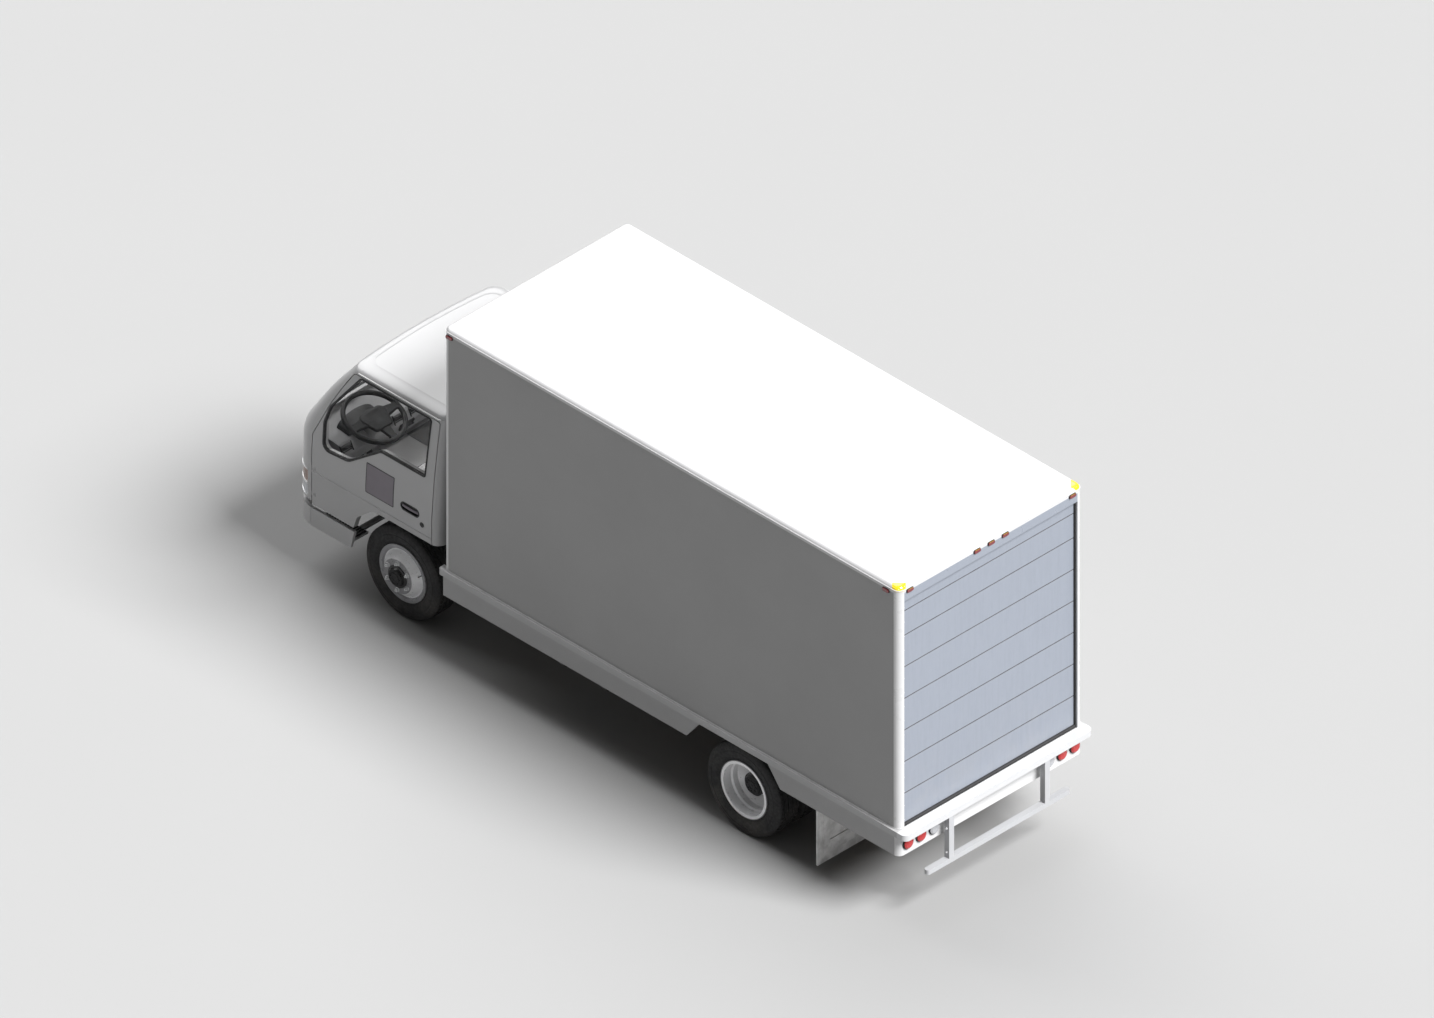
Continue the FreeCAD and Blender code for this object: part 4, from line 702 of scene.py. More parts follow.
def valve(name, x, face, radius, sign, body):
    start = Vector((x - radius * 0.94, sign * face, AXLE_HEIGHT + radius * 0.34))
    form = Form().turned(start, (0.25, sign, -0.1),
            mm(0, 6, 10, 5.5, 12, 3.2, 36, 3.2, 37, 4.5, 48, 4.5, 50, 3.8), 12)
    form.piece(name, "black_rubber", body, "tyre_rubber")


def brake(axle, side, x, plate, sign, radius, wheel_body, fixed_body):
    """Finned drum that turns with the wheel, and its backing plate."""
    y = sign * plate
    rib = radius - 0.006
    drum = Form().turned((x, y, AXLE_HEIGHT), (0, sign, 0), [
        (0.008, 0.07), (0.008, radius), (0.016, radius), (0.018, rib), (0.04, rib), (0.042, radius),
        (0.05, radius), (0.052, rib), (0.088, radius - 0.01), (0.094, 0.09), (0.096, 0.07)], 48)
    drum.piece("%s_drum_%s" % (axle, side), "cast_metal", wheel_body)
    back = Form().turned((x, y, AXLE_HEIGHT), (0, sign, 0), [
        (-0.01, 0.062), (-0.01, 0.095), (-0.004, 0.105), (-0.004, radius - 0.02), (-0.001, radius + 0.004),
        (0.005, radius + 0.004), (0.005, 0.062)], 48)
    back.turned((x - 0.02, y - sign * 0.012, AXLE_HEIGHT + radius * 0.62), (0, -sign, 0),
            mm(-10, 24, 30, 24, 34, 18, 44, 18), 16)
    back.piece("%s_brake_plate_%s" % (axle, side), "frame_black", fixed_body)


def wheel_parts():
    for side, sign in SIDES:
        front, rear = "front_%s_wheel" % side, "rear_%s_wheels" % side
        wheel_nuts("front_nuts_" + side, FRONT_AXLE_X, FRONT_DISC_FACE, 0.119, 0.0155, sign, "chrome", front)
        wheel_nuts("rear_nuts_" + side, REAR_AXLE_X, REAR_DISC_FACE, 0.118, 0.0125, sign, "cast_metal", rear)
        hub_cap("front_hub_cap_" + side, FRONT_AXLE_X, FRONT_HUB_END, sign, 6, front)
        hub_cap("rear_hub_cap_" + side, REAR_AXLE_X, REAR_HUB_END, sign, 8, rear)
        valve("front_valve_" + side, FRONT_AXLE_X, 0.735, 0.208, sign, front)
        valve("rear_valve_" + side, REAR_AXLE_X, 0.888, 0.196, sign, rear)
        brake("front", side, FRONT_AXLE_X, 0.69, sign, 0.16, front, side + "_knuckle")
        brake("rear", side, REAR_AXLE_X, 0.528, sign, 0.18, rear, "chassis")


# Windows, doors and cab trim

WINDOW = mm3(-297, 1470, 18, 170, 1470, 80, 500, 1227, 120, 765, 1205, 60, 768, 1440, 120, 716, 1600, 150,
             423, 1985, 40, -324, 1985, 18)
WINDSCREEN = mm3(-690, 1265, 70, 690, 1265, 70, 600, 1985, 60, -600, 1985, 60)
HANDLE = (-0.165, 1.115)
KEY_LOCK = (-0.293, 1.037)
DOOR_PLATE = (0.013, 0.303, 1.048, 1.308)
WAIST_LINE = 0.952
DOOR_SKIN = 0.85


def subdivided(outline, longest=0.06):
    """The same closed outline with its long runs divided, so that trim can follow a curved skin."""
    points = []
    for i, point in enumerate(outline):
        after = outline[(i + 1) % len(outline)]
        steps = max(1, ceil((after - point).length / longest))
        points += [point.lerp(after, k / steps) for k in range(steps)]
    return points


def window_seal(name, outline, place, way, node, body):
    seal = trim(Form(), subdivided(rounded(outline)), place, way, node, GASKET)
    seal.piece(name, "black_rubber", body, "black_plastic")


def window_seals():
    for side, sign in SIDES:
        place, way = from_side(sign)
        window_seal("window_seal_" + side, WINDOW, place, way, "door_" + side, side + "_door")
    window_seal("windscreen_seal", WINDSCREEN, from_front, (-1, 0, 0), "cab_shell", "cab")
    window_seal("rear_window_seal", rectangle(-0.52, 0.52, 1.49, 1.9, 0.05), from_rear, (1, 0, 0), "cab_shell", "cab")


def oval(x, z, half, height, steps=8):
    return rounded(rectangle(x - half, x + half, z - height, z + height, height - 0.001), steps)


def door_furniture():
    for side, sign in SIDES:
        body, node = side + "_door", "door_" + side
        out = (0, sign, 0)
        place, way = from_side(sign)
        x, z = HANDLE
        pocket = trim(Form(), oval(x, z, 0.095, 0.033), place, way, node,
                mm(-4, -12, -0.2, -12, -0.2, 0.3, 6, 0.3, 6, 2, -4, 2), 0.01)
        pocket.side_plate(oval(x, z, 0.094, 0.032), sign * (DOOR_SKIN - 0.0155), sign * 0.002)
        pocket.piece("handle_pocket_" + side, "black_plastic", body)
        arcs = [(i / 12, sin(pi * i / 12)) for i in range(13)]
        path = [at(x - 0.082 + 0.164 * along, sign * (DOOR_SKIN - 0.006 + 0.007 * arc), z + 0.004 * arc)
                for along, arc in arcs]
        bar = Form().swept(path, mm(-11, -4, 9, -5, 12, 1, 8, 4.5, -8, 4.5, -12, 1), out)
        bar.piece("door_handle_" + side, "plate_film", body, "black_plastic", 50.0)
        x, z = KEY_LOCK
        lock = Form().turned(at(x, sign * DOOR_SKIN, z), out,
                mm(-2, 22, 2, 22, 3.5, 20, 3.5, 15, 2, 14, 2, 11, 5, 10, 5, 2), 28)
        key_slot = [(a, b) for a, b, corner in rectangle(x - 0.0012, x + 0.0012, z - 0.006, z + 0.006, 0)]
        lock.side_plate(key_slot, sign * (DOOR_SKIN + 0.0045), sign * 0.0012)
        lock.piece("door_lock_" + side, "black_plastic", body)
        patch(Form(), DOOR_PLATE, place, way, node, 0.0015).piece("door_plate_" + side, "plate_film", body,
                                                                  "black_plastic")
        rim = trim(Form(), subdivided(rounded(rectangle(*DOOR_PLATE, 0.004), 3)), place, way, node,
                mm(-3, 0, 3, 0, 3, 2.2, -3, 2.2), 0.0)
        rim.piece("door_plate_rim_" + side, "black_plastic", body)
        line = strip(Form(), [(-0.388 + 1.264 * i / 20, WAIST_LINE) for i in range(21)], place, way, node, WAIST_BEAD)
        line.piece("waist_line_" + side, "cab_paint", body)


# Load body trim

BODY_SIDE = 0.979
BODY_REAR = -5.498
BODY_FRONT = -0.648
DOOR_FACE = BODY_REAR + 0.032
MARKERS_REAR = (-0.865, -0.15, 0.0, 0.15, 0.865)
MARKERS_SIDE = (BODY_FRONT - 0.068, BODY_REAR + 0.137)
TAIL_LAMPS = (0.886, 0.749, 0.611)


def flat_rim(form, middle, place):
    """Rubber rim round one oval marker lamp."""
    rings = []
    for point in oval(*middle, 0.0335, 0.0135):
        away = (point - Vector(middle)).normalized()
        rings.append([place(point + away * a, b) for a, b in mm(-2, -1, 5, -1, 4, 5, -1, 5)])
    form.rings(rings, joined=True)


def lamp_rims():
    form = Form()
    for y in TAIL_LAMPS:
        for centre in (at(BODY_REAR, y, 0.731), at(BODY_REAR, -y, 0.731)):
            form.turned(centre, (-1, 0, 0), mm(-1, 47.5, -1, 54, 6, 54, 11, 51.5, 11, 47.8), 40)
            form.turned(centre, (-1, 0, 0), mm(25, 20, 26.2, 20, 26.2, 17, 25, 17), 24)
    form.piece("tail_lamp_rims", "black_rubber", "chassis", "lamp_red")
    form = Form()
    for y in MARKERS_REAR:
        flat_rim(form, (y, 3.052), lambda p, above: at(BODY_REAR - above, p.x, p.y))
    for sign in (1, -1):
        for x in MARKERS_SIDE:
            flat_rim(form, (x, 3.038), lambda p, above: at(p.x, sign * (BODY_SIDE + above), p.y))
    form.piece("marker_rims", "black_rubber", "chassis", "lamp_red")


def plan_line(grow, radius, steps=8):
    """The load body's rounded outline in plan."""
    half = BODY_SIDE + grow
    return rounded(rectangle(BODY_REAR - grow, BODY_FRONT + grow, -half, half, radius), steps)


def rivet(form, place, way, size=0.006):
    form.turned(place, way, [(-0.001, size), (0.001, size), (0.0022, size * 0.7), (0.0026, size * 0.25)], 8)


def body_trim():
    beads = Form()
    for z in (3.074, 0.884):
        beads.swept([at(p.x, p.y, z) for p in plan_line(-0.0008, 0.056)],
                mm(-1, -4, 3, -3.5, 4.2, 0, 3, 3.5, -1, 4), (0, 0, 1), joined=True)
    beads.piece("body_beads", "body_paint", "chassis")
    rivets = Form()
    posts = Form()
    for sign in (1, -1):
        for z in (0.915, 3.01):
            for x in [BODY_FRONT - 0.1 - 4.65 * i / 46 for i in range(47)]:
                if z < 3 or min(abs(x - m) for m in MARKERS_SIDE) >= 0.05:
                    rivet(rivets, at(x, sign * BODY_SIDE, z), (0, sign, 0))
        for i in range(16):
            rivet(posts, at(BODY_REAR, sign * (POST_EDGE + 0.001), 0.96 + 0.13 * i), (-1, 0, 0), 0.004)
    rivets.piece("side_rivets", "panel_paint", "chassis", "body_paint")
    posts.piece("post_rivets", "body_paint", "chassis")


def door_seals():
    form = Form().side_plate([(DOOR_FACE - a, 0.8803 + b) for a, b in mm(0, 0, 16, 0, 18, 12, 10, 24, 0, 26)],
            -0.921, 1.842)
    for sign in (1, -1):
        form.plate([at(DOOR_FACE - a, sign * (POST_EDGE - b), 0.906) for a, b in mm(0, 0, 12, 0, 14, 6, 4, 12, 0,
                12)], (0, 0, 2.062))
    form.piece("rollup_door_seals", "black_rubber", "chassis", "tyre_rubber", 30.0)


def bolt(form, place, way, size=0.01):
    form.turned(place, way, [(-0.001, size * 1.4), (0.0018, size * 1.4)], 14)
    form.turned(place, way, [(0.0016, size), (0.0078, size), (0.009, size * 0.84)], 6)


def rear_hardware():
    bolts = Form()
    for sign in (1, -1):
        for z in (0.5, 0.72):
            bolt(bolts, at(-5.564, sign * 0.536, z), (0, sign, 0), 0.0075)
        for y in (0.45, 0.6, 0.75, 0.9):
            bolt(bolts, at(-4.58, sign * y, 0.782), (-1, 0, 0), 0.008)
    bolts.piece("rear_bolts", "chrome", "chassis", "guard_steel")


# Cab front

WIPER_PIVOTS = (0.6, 0.04)
WIPER_FOOT = 1.235
WINDSCREEN_FOOT = 1.262


def wipers():
    """Two arms that lie on the windscreen's foot, each with a spring hinge, blade carrier and blade."""
    form = Form()
    for y in WIPER_PIVOTS:
        pivot, above = skin("cab_shell", from_front((y, WIPER_FOOT)), (-1, 0, 0))
        form.turned(pivot, above, mm(-4, 16, 4, 16, 7, 12, 9, 12, 10, 8), 20)
        arm = []
        for share in [i / 8 for i in range(9)]:
            z = WIPER_FOOT + 0.15 * sin(pi * 0.55 * share)
            node, lift = ("cab_shell", 0) if z < WINDSCREEN_FOOT else ("cab_glass", 0.024)
            spot, up = skin(node, from_front((y - 0.44 * share, z)), (-1, 0, 0))
            arm.append(spot + up * (0.006 + 0.012 * sin(pi * share) + lift))
        form.swept(arm, mm(-7, -2, 7, -2, 5, 3, -5, 3), above)
        blade = []
        for i in range(13):
            spot, up = skin("cab_glass", from_front((y - 0.14 - 0.5 * i / 12, 1.335 + 0.06 * i / 12)), (-1, 0, 0))
            blade.append(spot + up * 0.008)
        form.swept(blade, mm(-2, -7, 2, -7, 3, 0, 6, 3, 3, 12, -3, 12, -6, 3, -3, 0), above)
    form.piece("wipers", "black_plastic", "cab")


def lamp_frames():
    """Bright bezels round the headlamps and turn lamps at the cab's corners."""
    form = Form()
    for sign in (1, -1):
        for z in (0.703, 0.809, 0.823, 0.941):
            points = []
            for turn in arc(11, 89, 13):
                way = Vector((-sin(turn), -sign * cos(turn), 0))
                points.append(skin("front_lamps", at(0.888, sign * 0.643, z) - way * 1.2, way)[0] - way * 0.001)
            points.append(skin("front_lamps", from_front((sign * 0.603, z)), (-1, 0, 0))[0] + Vector((0.001, 0, 0)))
            form.swept(points, mm(-2, -4, 2.5, -4, 2.5, 4, -2, 4), (0, 0, 1))
    form.piece("lamp_frames", "chrome", "cab", "lamp_lens")


def grille_parts():
    """Dark ribbed core seen between the slats, and the grille's bright surround."""
    inside = skin("front_panel", from_front((0.0, 0.947)), (-1, 0, 0))[0].x
    back, rib, face = inside - 0.075, inside - 0.07, inside - 0.058
    core = Form().plate([(back, -0.428, 0.744), (back, 0.428, 0.744), (back, 0.428, 0.94), (back, -0.428, 0.94)],
                        (0.006, 0, 0))
    for y in spaced(-0.42, 0.03, 29):
        core.plate([(rib, y, 0.744), (face, y, 0.744), (face, y + 0.004, 0.744), (rib, y + 0.004, 0.744)],
                   (0, 0, 0.196))
    core.piece("grille_core", "black_plastic", "cab")
    edges = trim(Form(), subdivided(rounded(rectangle(-0.438, 0.438, 0.734, 0.95, 0.012), 3)), from_front,
            (-1, 0, 0), "front_panel", mm(-7, -2, 7, -2, 4, 5, -4, 5), 0.0)
    edges.piece("grille_surround", "chrome", "cab", "cab_paint")


def bumper_parts():
    """Lower air slots and fog lamps of the bumper."""
    slots, lamps, rims = Form(), Form(), Form()
    for z in (0.478, 0.495, 0.512):
        strip(slots, [(-0.3 + 0.05 * i, z) for i in range(13)], from_front, (-1, 0, 0), "front_bumper",
                mm(-4, -1, 4, -1, 4, 0.3, -4, 0.3))
    for sign in (1, -1):
        spot, above = skin("front_bumper", from_front((sign * 0.52, 0.53)), (-1, 0, 0))
        lamps.turned(spot, above, mm(-2, 36, 2, 36, 7, 24, 8.5, 8), 28)
        rims.turned(spot, above, mm(-2, 46, 3, 46, 5, 42, 4, 36.5, -1, 36.2), 28)
    slots.piece("bumper_slots", "black_plastic", "chassis")
    lamps.piece("fog_lamps", "front_lens", "chassis", "lamp_lens")
    rims.piece("fog_lamp_rims", "black_plastic", "chassis")


def step_treads():
    """Raised grip bars on the entry steps."""
    form = Form()
    for sign in (1, -1):
        for x in spaced(0.485, 0.028, 14):
            form.block(at(x, sign * 0.735 - 0.075, 0.4955), at(x + 0.012, sign * 0.735 + 0.075, 0.5005))
    form.piece("step_grips", "black_rubber", "chassis", "tyre_rubber", bevel=0.001)


# Inside the cab

DRIVER_Y = 0.4
LEVER_Y = 0.13
DOOR_CARD = mm3(-375, 925, 30, 200, 925, 40, 360, 800, 50, 800, 800, 50, 800, 1140, 60, 500, 1160, 100,
                170, 1400, 80, -375, 1400, 30)


def steering_pad():
    """Padded cover of the steering wheel's rim, its spoke covers, and a broad flat pad in the middle."""
    rake = radians(19.5)
    axis = Vector((-sin(rake), 0, cos(rake)))
    ahead = Vector((cos(rake), 0, sin(rake)))
    centre = at(0.672, DRIVER_Y, 1.302) + axis * 0.024
    ways = [ahead * cos(t) + Vector((0, sin(t), 0)) for t in circle(72)]
    rim = Form().tube([centre + way * 0.243 for way in ways], 0.0205, axis, 14, joined=True)
    rim.piece("steering_rim_cover", "black_rubber", "steering_wheel", "black_plastic", 60.0)
    outline = rounded(mm3(-125, -85, 40, 70, -150, 55, 70, 150, 55, -125, 85, 40), 6)
    pad = Form().rings([[centre + ahead * p.x * share + Vector((0, p.y * share, 0)) + axis * level for p in outline]
                        for level, share in ((-0.006, 0.97), (0.014, 1.0), (0.023, 0.94), (0.027, 0.8),
                                             (0.0275, 0.5), (0.0265, 0.47), (0.0265, 0.1))])
    for out in (ways[54], ways[18], ways[36]):
        beside = axis.cross(out)
        pad.rings([[centre + out * reach + beside * half * edge + axis * level
                    for edge, level in ((-1.0, -0.004), (1.0, -0.004), (0.8, 0.014), (-0.8, 0.014))]
                   for reach, half in mm(80, 58, 150, 44, 200, 34, 236, 40)])
    pad.piece("steering_pad", "black_rubber", "steering_wheel", "black_plastic")
    stalks = Form()
    for sign in (1, -1):
        base = centre + axis * 0.006 - axis * 0.1 + Vector((0, sign * 0.045, 0))
        tip = base + Vector((0.0, sign * 0.15, 0.024))
        stalks.tube([base, base + Vector((0.004, sign * 0.07, 0.01)), tip], 0.006, (1, 0, 0))
        stalks.turned(tip, (0, sign, 0.15), mm(-4, 7, 4, 10, 34, 10, 40, 7), 14)
    stalks.piece("column_stalks", "black_plastic", "cab")


def dash_parts():
    """Instrument hood, dials, vents, glove box lid, radio and gear lever."""
    bow = [(cos(t), sin(t)) for t in [pi * i / 16 for i in range(17)]]
    hood = Form().plate([at(0.745, DRIVER_Y + 0.19 * c, 1.205 + 0.085 * h) for c, h in bow]
                        + [at(0.745, DRIVER_Y + 0.175 * c, 1.205 + 0.07 * h) for c, h in reversed(bow)],
                        (0.13, 0, 0.012))
    hood.piece("instrument_hood", "black_plastic", "cab", bevel=0.002)
    panel = Form().front_plate([(DRIVER_Y + 0.176 * c, 1.206 + 0.071 * h) for c, h in bow], 0.8, 0.006)
    panel.piece("instrument_panel", "cabin_plastic", "cab")
    dials = Form()
    for y, radius in mm(470, 36, 330, 36, 400, 24, 540, 18, 260, 18):
        centre = at(0.7995, y, 1.238)
        dials.turned(centre, (-1, 0, 0), [(-0.001, radius), (0.006, radius), (0.007, radius - 0.003),
                                          (0.001, radius - 0.005), (0.001, 0.003)], 28)
        for turn in arc(-120, 120, 9):
            tick = Vector((0, sin(turn), cos(turn)))
            beside = Vector((0, tick.z, -tick.y)) * 0.0006
            near, far = centre + tick * (radius * 0.62), centre + tick * (radius * 0.8)
            dials.plate([near - beside, near + beside, far + beside, far - beside], (-0.0022, 0, 0))
    dials.piece("dials", "chrome", "cab", "black_plastic")
    vents = Form()
    for y in (0.68, 0.12, -0.05, -0.66):
        for z in spaced(1.15, 0.014, 4):
            x = 0.667 + 0.28 * (z - 1.12)
            vents.side_plate([(x - 0.006, z), (x + 0.01, z + 0.004), (x + 0.01, z + 0.006), (x - 0.006, z + 0.002)],
                             y - 0.055, 0.11)
        for edge in (-0.06, 0.056):
            vents.side_plate(mm(667, 1140, 700, 1208, 690, 1210, 655, 1140), y + edge, 0.004)
    vents.piece("dash_vents", "black_plastic", "cab")
    lid = Form().side_plate(mm(670, 1010, 654, 1085, 663, 1122, 682, 1110, 705, 1010), -0.25, -0.38)
    lid.piece("glove_box_lid", "cabin_pale", "cab", "cabin_plastic", bevel=0.003)
    radio = Form().side_plate(mm(664, 1060, 652, 1110, 665, 1118, 680, 1062), -0.02, 0.15)
    for y in (0.0, 0.11):
        radio.turned(at(0.657, y, 1.088), (-1, 0, -0.2), mm(0, 10, 12, 9, 14, 6), 18)
    radio.piece("radio", "black_plastic", "cab", bevel=0.0015)
    lever = Form().turned(at(0.26, LEVER_Y, 0.93), (0, 0, 1),
            mm(-10, 55, 20, 50, 35, 36, 45, 40, 60, 24, 70, 27, 90, 13), 24)
    lever.tube([at(0.26, LEVER_Y, 1.01), at(0.258, LEVER_Y, 1.12), at(0.245, LEVER_Y, 1.225)], 0.008, (0, 1, 0))
    lever.turned(at(0.243, LEVER_Y, 1.235), (-0.2, 0.0, 1), mm(-22, 9, -14, 17, 4, 22, 18, 18, 25, 8), 20)
    lever.piece("gear_lever", "black_rubber", "cab", "black_plastic")


def pedals():
    form = Form()
    for y, width, low in mm3(520, 34, 860, 410, 40, 860, 300, 26, 830):
        form.side_plate([(0.8, low), (0.792, low + 0.004), (0.816, low + 0.078), (0.824, low + 0.074)], y - width,
                        2 * width)
        form.tube([at(0.808, y, low + 0.04), at(0.85, y, low + 0.1), at(0.885, y, low + 0.14)], 0.007, (0, 1, 0))
    form.piece("pedals", "black_rubber", "cab", "black_plastic", bevel=0.002)


def door_cards():
    """Inner trim of each door: pad, arm rest and window winder."""
    for side, sign in SIDES:
        body = side + "_door"
        inward = (0, -sign, 0)
        card = Form().side_plate(rounded(DOOR_CARD), sign * 0.79, -sign * 0.006)
        card.piece("door_card_" + side, "cabin_pale", body, "cabin_plastic", bevel=0.002)
        rest = Form().swept([at(-0.16, sign * 0.752, 1.165), at(0.1, sign * 0.746, 1.165),
                at(0.3, sign * 0.76, 1.205)], mm(-32, -22, 30, -22, 34, 0, 24, 18, -24, 18, -34, 0), (0, 0, 1))
        winder = at(0.42, sign * 0.784, 1.03)
        rest.turned(winder, inward, mm(0, 30, 14, 26, 20, 16), 20)
        rest.tube([winder + Vector((0, -sign * 0.016, 0)), winder + Vector((-0.1, -sign * 0.026, -0.05))], 0.008,
                  (0, 1, 0))
        rest.turned(winder + Vector((-0.1, -sign * 0.022, -0.05)), inward, mm(0, 10, 10, 13, 30, 11, 34, 6), 14)
        rest.piece("arm_rest_" + side, "black_plastic", body, smooth=40.0)


def cab_lining():
    """Sun visors, inside mirror, roof lamp and the ribbed floor mats."""
    visors, mats = Form(), Form()
    for sign in (1, -1):
        visors.side_plate(mm(330, 2005, 470, 1930, 474, 1938, 334, 2013), sign * 0.34 - 0.19, 0.38)
        y = sign * DRIVER_Y
        mats.block(at(0.44, y - 0.26, 0.8025), at(0.86, y + 0.26, 0.808))
        for x in spaced(0.46, 0.033, 12):
            mats.block(at(x, y - 0.24, 0.8075), at(x + 0.012, y + 0.24, 0.8105))
    visors.piece("sun_visors", "cabin_pale", "cab", "cabin_plastic", bevel=0.003)
    mats.piece("floor_mats", "cabin_plastic", "cab", "tyre_rubber", bevel=0.0008)
    mirror = Form().plate([at(0.47, *p) for p in rounded(rectangle(-0.115, 0.115, 1.86, 1.925, 0.025))],
                          (0.014, 0, 0.004))
    mirror.tube([at(0.48, 0, 1.895), at(0.5, 0, 1.95), at(0.47, 0, 2.012)], 0.007, (0, 1, 0))
    mirror.piece("inside_mirror", "black_plastic", "cab", bevel=0.002)
    outline = rounded(rectangle(-0.035, 0.035, -0.07, 0.07, 0.012), 4)
    lamp = Form().plate([at(0.05 + p.x, p.y, 2.018) for p in outline], (0, 0, -0.014))
    lamp.piece("roof_lamp", "lit_lens", "cab", "lamp_lens", bevel=0.003)


# Seats

SEAT_SPANS = (("driver", 0.17, 0.63), ("bench", -0.69, 0.09))
CUSHION = mm(-250, 1060, 178, 1066, 180, 1166, -240, 1150)
BACKREST = mm(-315, 1110, -225, 1135, -302, 1688, -380, 1700)
VOXEL = 0.008
SWELL_CAP = 0.024
SEAM_DEPTH = 0.009


def block_mesh(name, profile, y0, y1):
    """A block with rounded edges, from its outline seen from the side, remeshed fine and even."""
    rough = bpy.data.objects.new(name + "_rough", Form().side_plate(profile, y0, y1 - y0).mesh(name))
    bpy.context.scene.collection.objects.link(rough)
    edges = rough.modifiers.new("edges", "BEVEL")
    edges.width = 0.032
    edges.segments = 4
    remesh = rough.modifiers.new("remesh", "REMESH")
    remesh.mode = "VOXEL"
    remesh.voxel_size = VOXEL
    even = bpy.data.meshes.new_from_object(rough.evaluated_get(bpy.context.evaluated_depsgraph_get()))
    bpy.data.objects.remove(rough)
    return even


def swollen(piece, held):
    """Blow a pad up as cloth, with the points of one side held, and keep how far each point moved in bounds."""
    group = piece.vertex_groups.new(name="held")
    group.add(held, 1.0, "REPLACE")
    start = [v.co.copy() for v in piece.data.vertices]
    cloth = piece.modifiers.new("cloth", "CLOTH")
    cloth.settings.quality = 4
    cloth.settings.mass = 0.3
    cloth.settings.use_pressure = True
    cloth.settings.uniform_pressure_force = 4.0
    cloth.settings.vertex_group_mass = "held"
    cloth.settings.effector_weights.gravity = 0.0
    cloth.point_cache.frame_start = 1
    cloth.point_cache.frame_end = 16
    for frame_number in range(1, 17):
        bpy.context.scene.frame_set(frame_number)
    result = piece.evaluated_get(bpy.context.evaluated_depsgraph_get()).to_mesh()
    moves = [v.co - was for v, was in zip(result.vertices, start)]
    piece.modifiers.remove(cloth)
    bpy.context.scene.frame_set(1)
    for vertex, was, move in zip(piece.data.vertices, start, moves):
        if move.length > SWELL_CAP:
            move = move * (SWELL_CAP / move.length)
        vertex.co = was + move


def pressed_seams(mesh, profile, channels, cross):
    """Press sewn channels into a pad's face: lengthways ones by their y, and one across it."""
    corner, reach_of_seam = cross
    low = at(profile[0][0], 0, profile[0][1])
    way_across = (at(profile[corner][0], 0, profile[corner][1]) - low).normalized()
    mesh.update()
    depths = []
    for vertex in mesh.vertices:
        reach = (vertex.co - at(profile[0][0], vertex.co.y, profile[0][1])).dot(way_across)
        near = min([abs(vertex.co.y - y) for y in channels] + [abs(reach - reach_of_seam)])
        depths.append(SEAM_DEPTH * exp(-(near / 0.011) ** 2))
    for vertex, depth, normal in zip(mesh.vertices, depths, [v.normal.copy() for v in mesh.vertices]):
        vertex.co -= normal * depth


def piping(name, piece, corners, way):
    """Cord sewn round the edge of a pad's face."""
    tree = tree_of(piece.data)
    way = Vector(way)
    found = [tree.ray_cast(corner - way * 0.3, way)[0] for corner in corners]
    path = [place - way * 0.001 for place in found if place is not None]
    for _ in range(4):
        path = [(path[i - 1] + here * 2 + path[(i + 1) % len(path)]) / 4 for i, here in enumerate(path)]
    cord = Form().tube(path, 0.0035, -way, 8, joined=True)
    cord.piece(name, "black_rubber", "cab", "seat_fabric", 60.0)


def seat_pad(name, profile, y0, y1, face, channels, cross):
    """One pad: face is the way that its padded side looks."""
    mesh = block_mesh(name, profile, y0 + 0.012, y1 - 0.012)
    piece = new_object(name, mesh, "seat_fabric", "cab", None)
    swollen(piece, [v.index for v in mesh.vertices if v.normal.dot(Vector(face)) < -0.6])
    pressed_seams(mesh, profile, channels, cross)
    smooth = piece.modifiers.new("smooth", "SUBSURF")
    smooth.levels = smooth.render_levels = 1
    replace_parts(piece, "seats")
    return piece


def seats():
    base = Form()
    for name, y0, y1 in SEAT_SPANS:
        places = 1 if name == "driver" else 2
        width = (y1 - y0) / places
        channels = [y0 + width * k + offset for k in range(places) for offset in (0.115, width - 0.115)]
        channels += [y0 + width] * (places - 1)
        cushion = seat_pad("seat_cushion_" + name, CUSHION, y0, y1, (0, 0, 1), channels, (1, 0.29))
        backrest = seat_pad("seat_back_" + name, BACKREST, y0, y1, (1, 0, 0.13), channels, (3, 0.38))
        rim = subdivided(rounded(rectangle(-0.195, 0.14, y0 + 0.05, y1 - 0.05, 0.04)), 0.03)
        piping("seat_cushion_piping_" + name, cushion, [at(p.x, p.y, 1.15) for p in rim], (0, 0, -1))
        rim = subdivided(rounded(rectangle(1.195, 1.63, y0 + 0.05, y1 - 0.05, 0.04)), 0.03)
        piping("seat_back_piping_" + name, backrest, [at(-0.25, p.y, p.x) for p in rim], (-1, 0, 0))
        base.side_plate(mm(-310, 934.5, 165, 934.5, 185, 990, 180, 1062, -310, 1056), y0 + 0.03, y1 - y0 - 0.06)
        for y in (y0 + 0.018, y1 - 0.032):
            base.side_plate(mm(-345, 1040, -295, 1040, -290, 1150, -350, 1150), y, 0.014)
    base.piece("seat_bases", "black_plastic", "cab", bevel=0.004)


# Engine and chassis details

SPRING_Y = 0.303
RAIL_FACE = 0.34


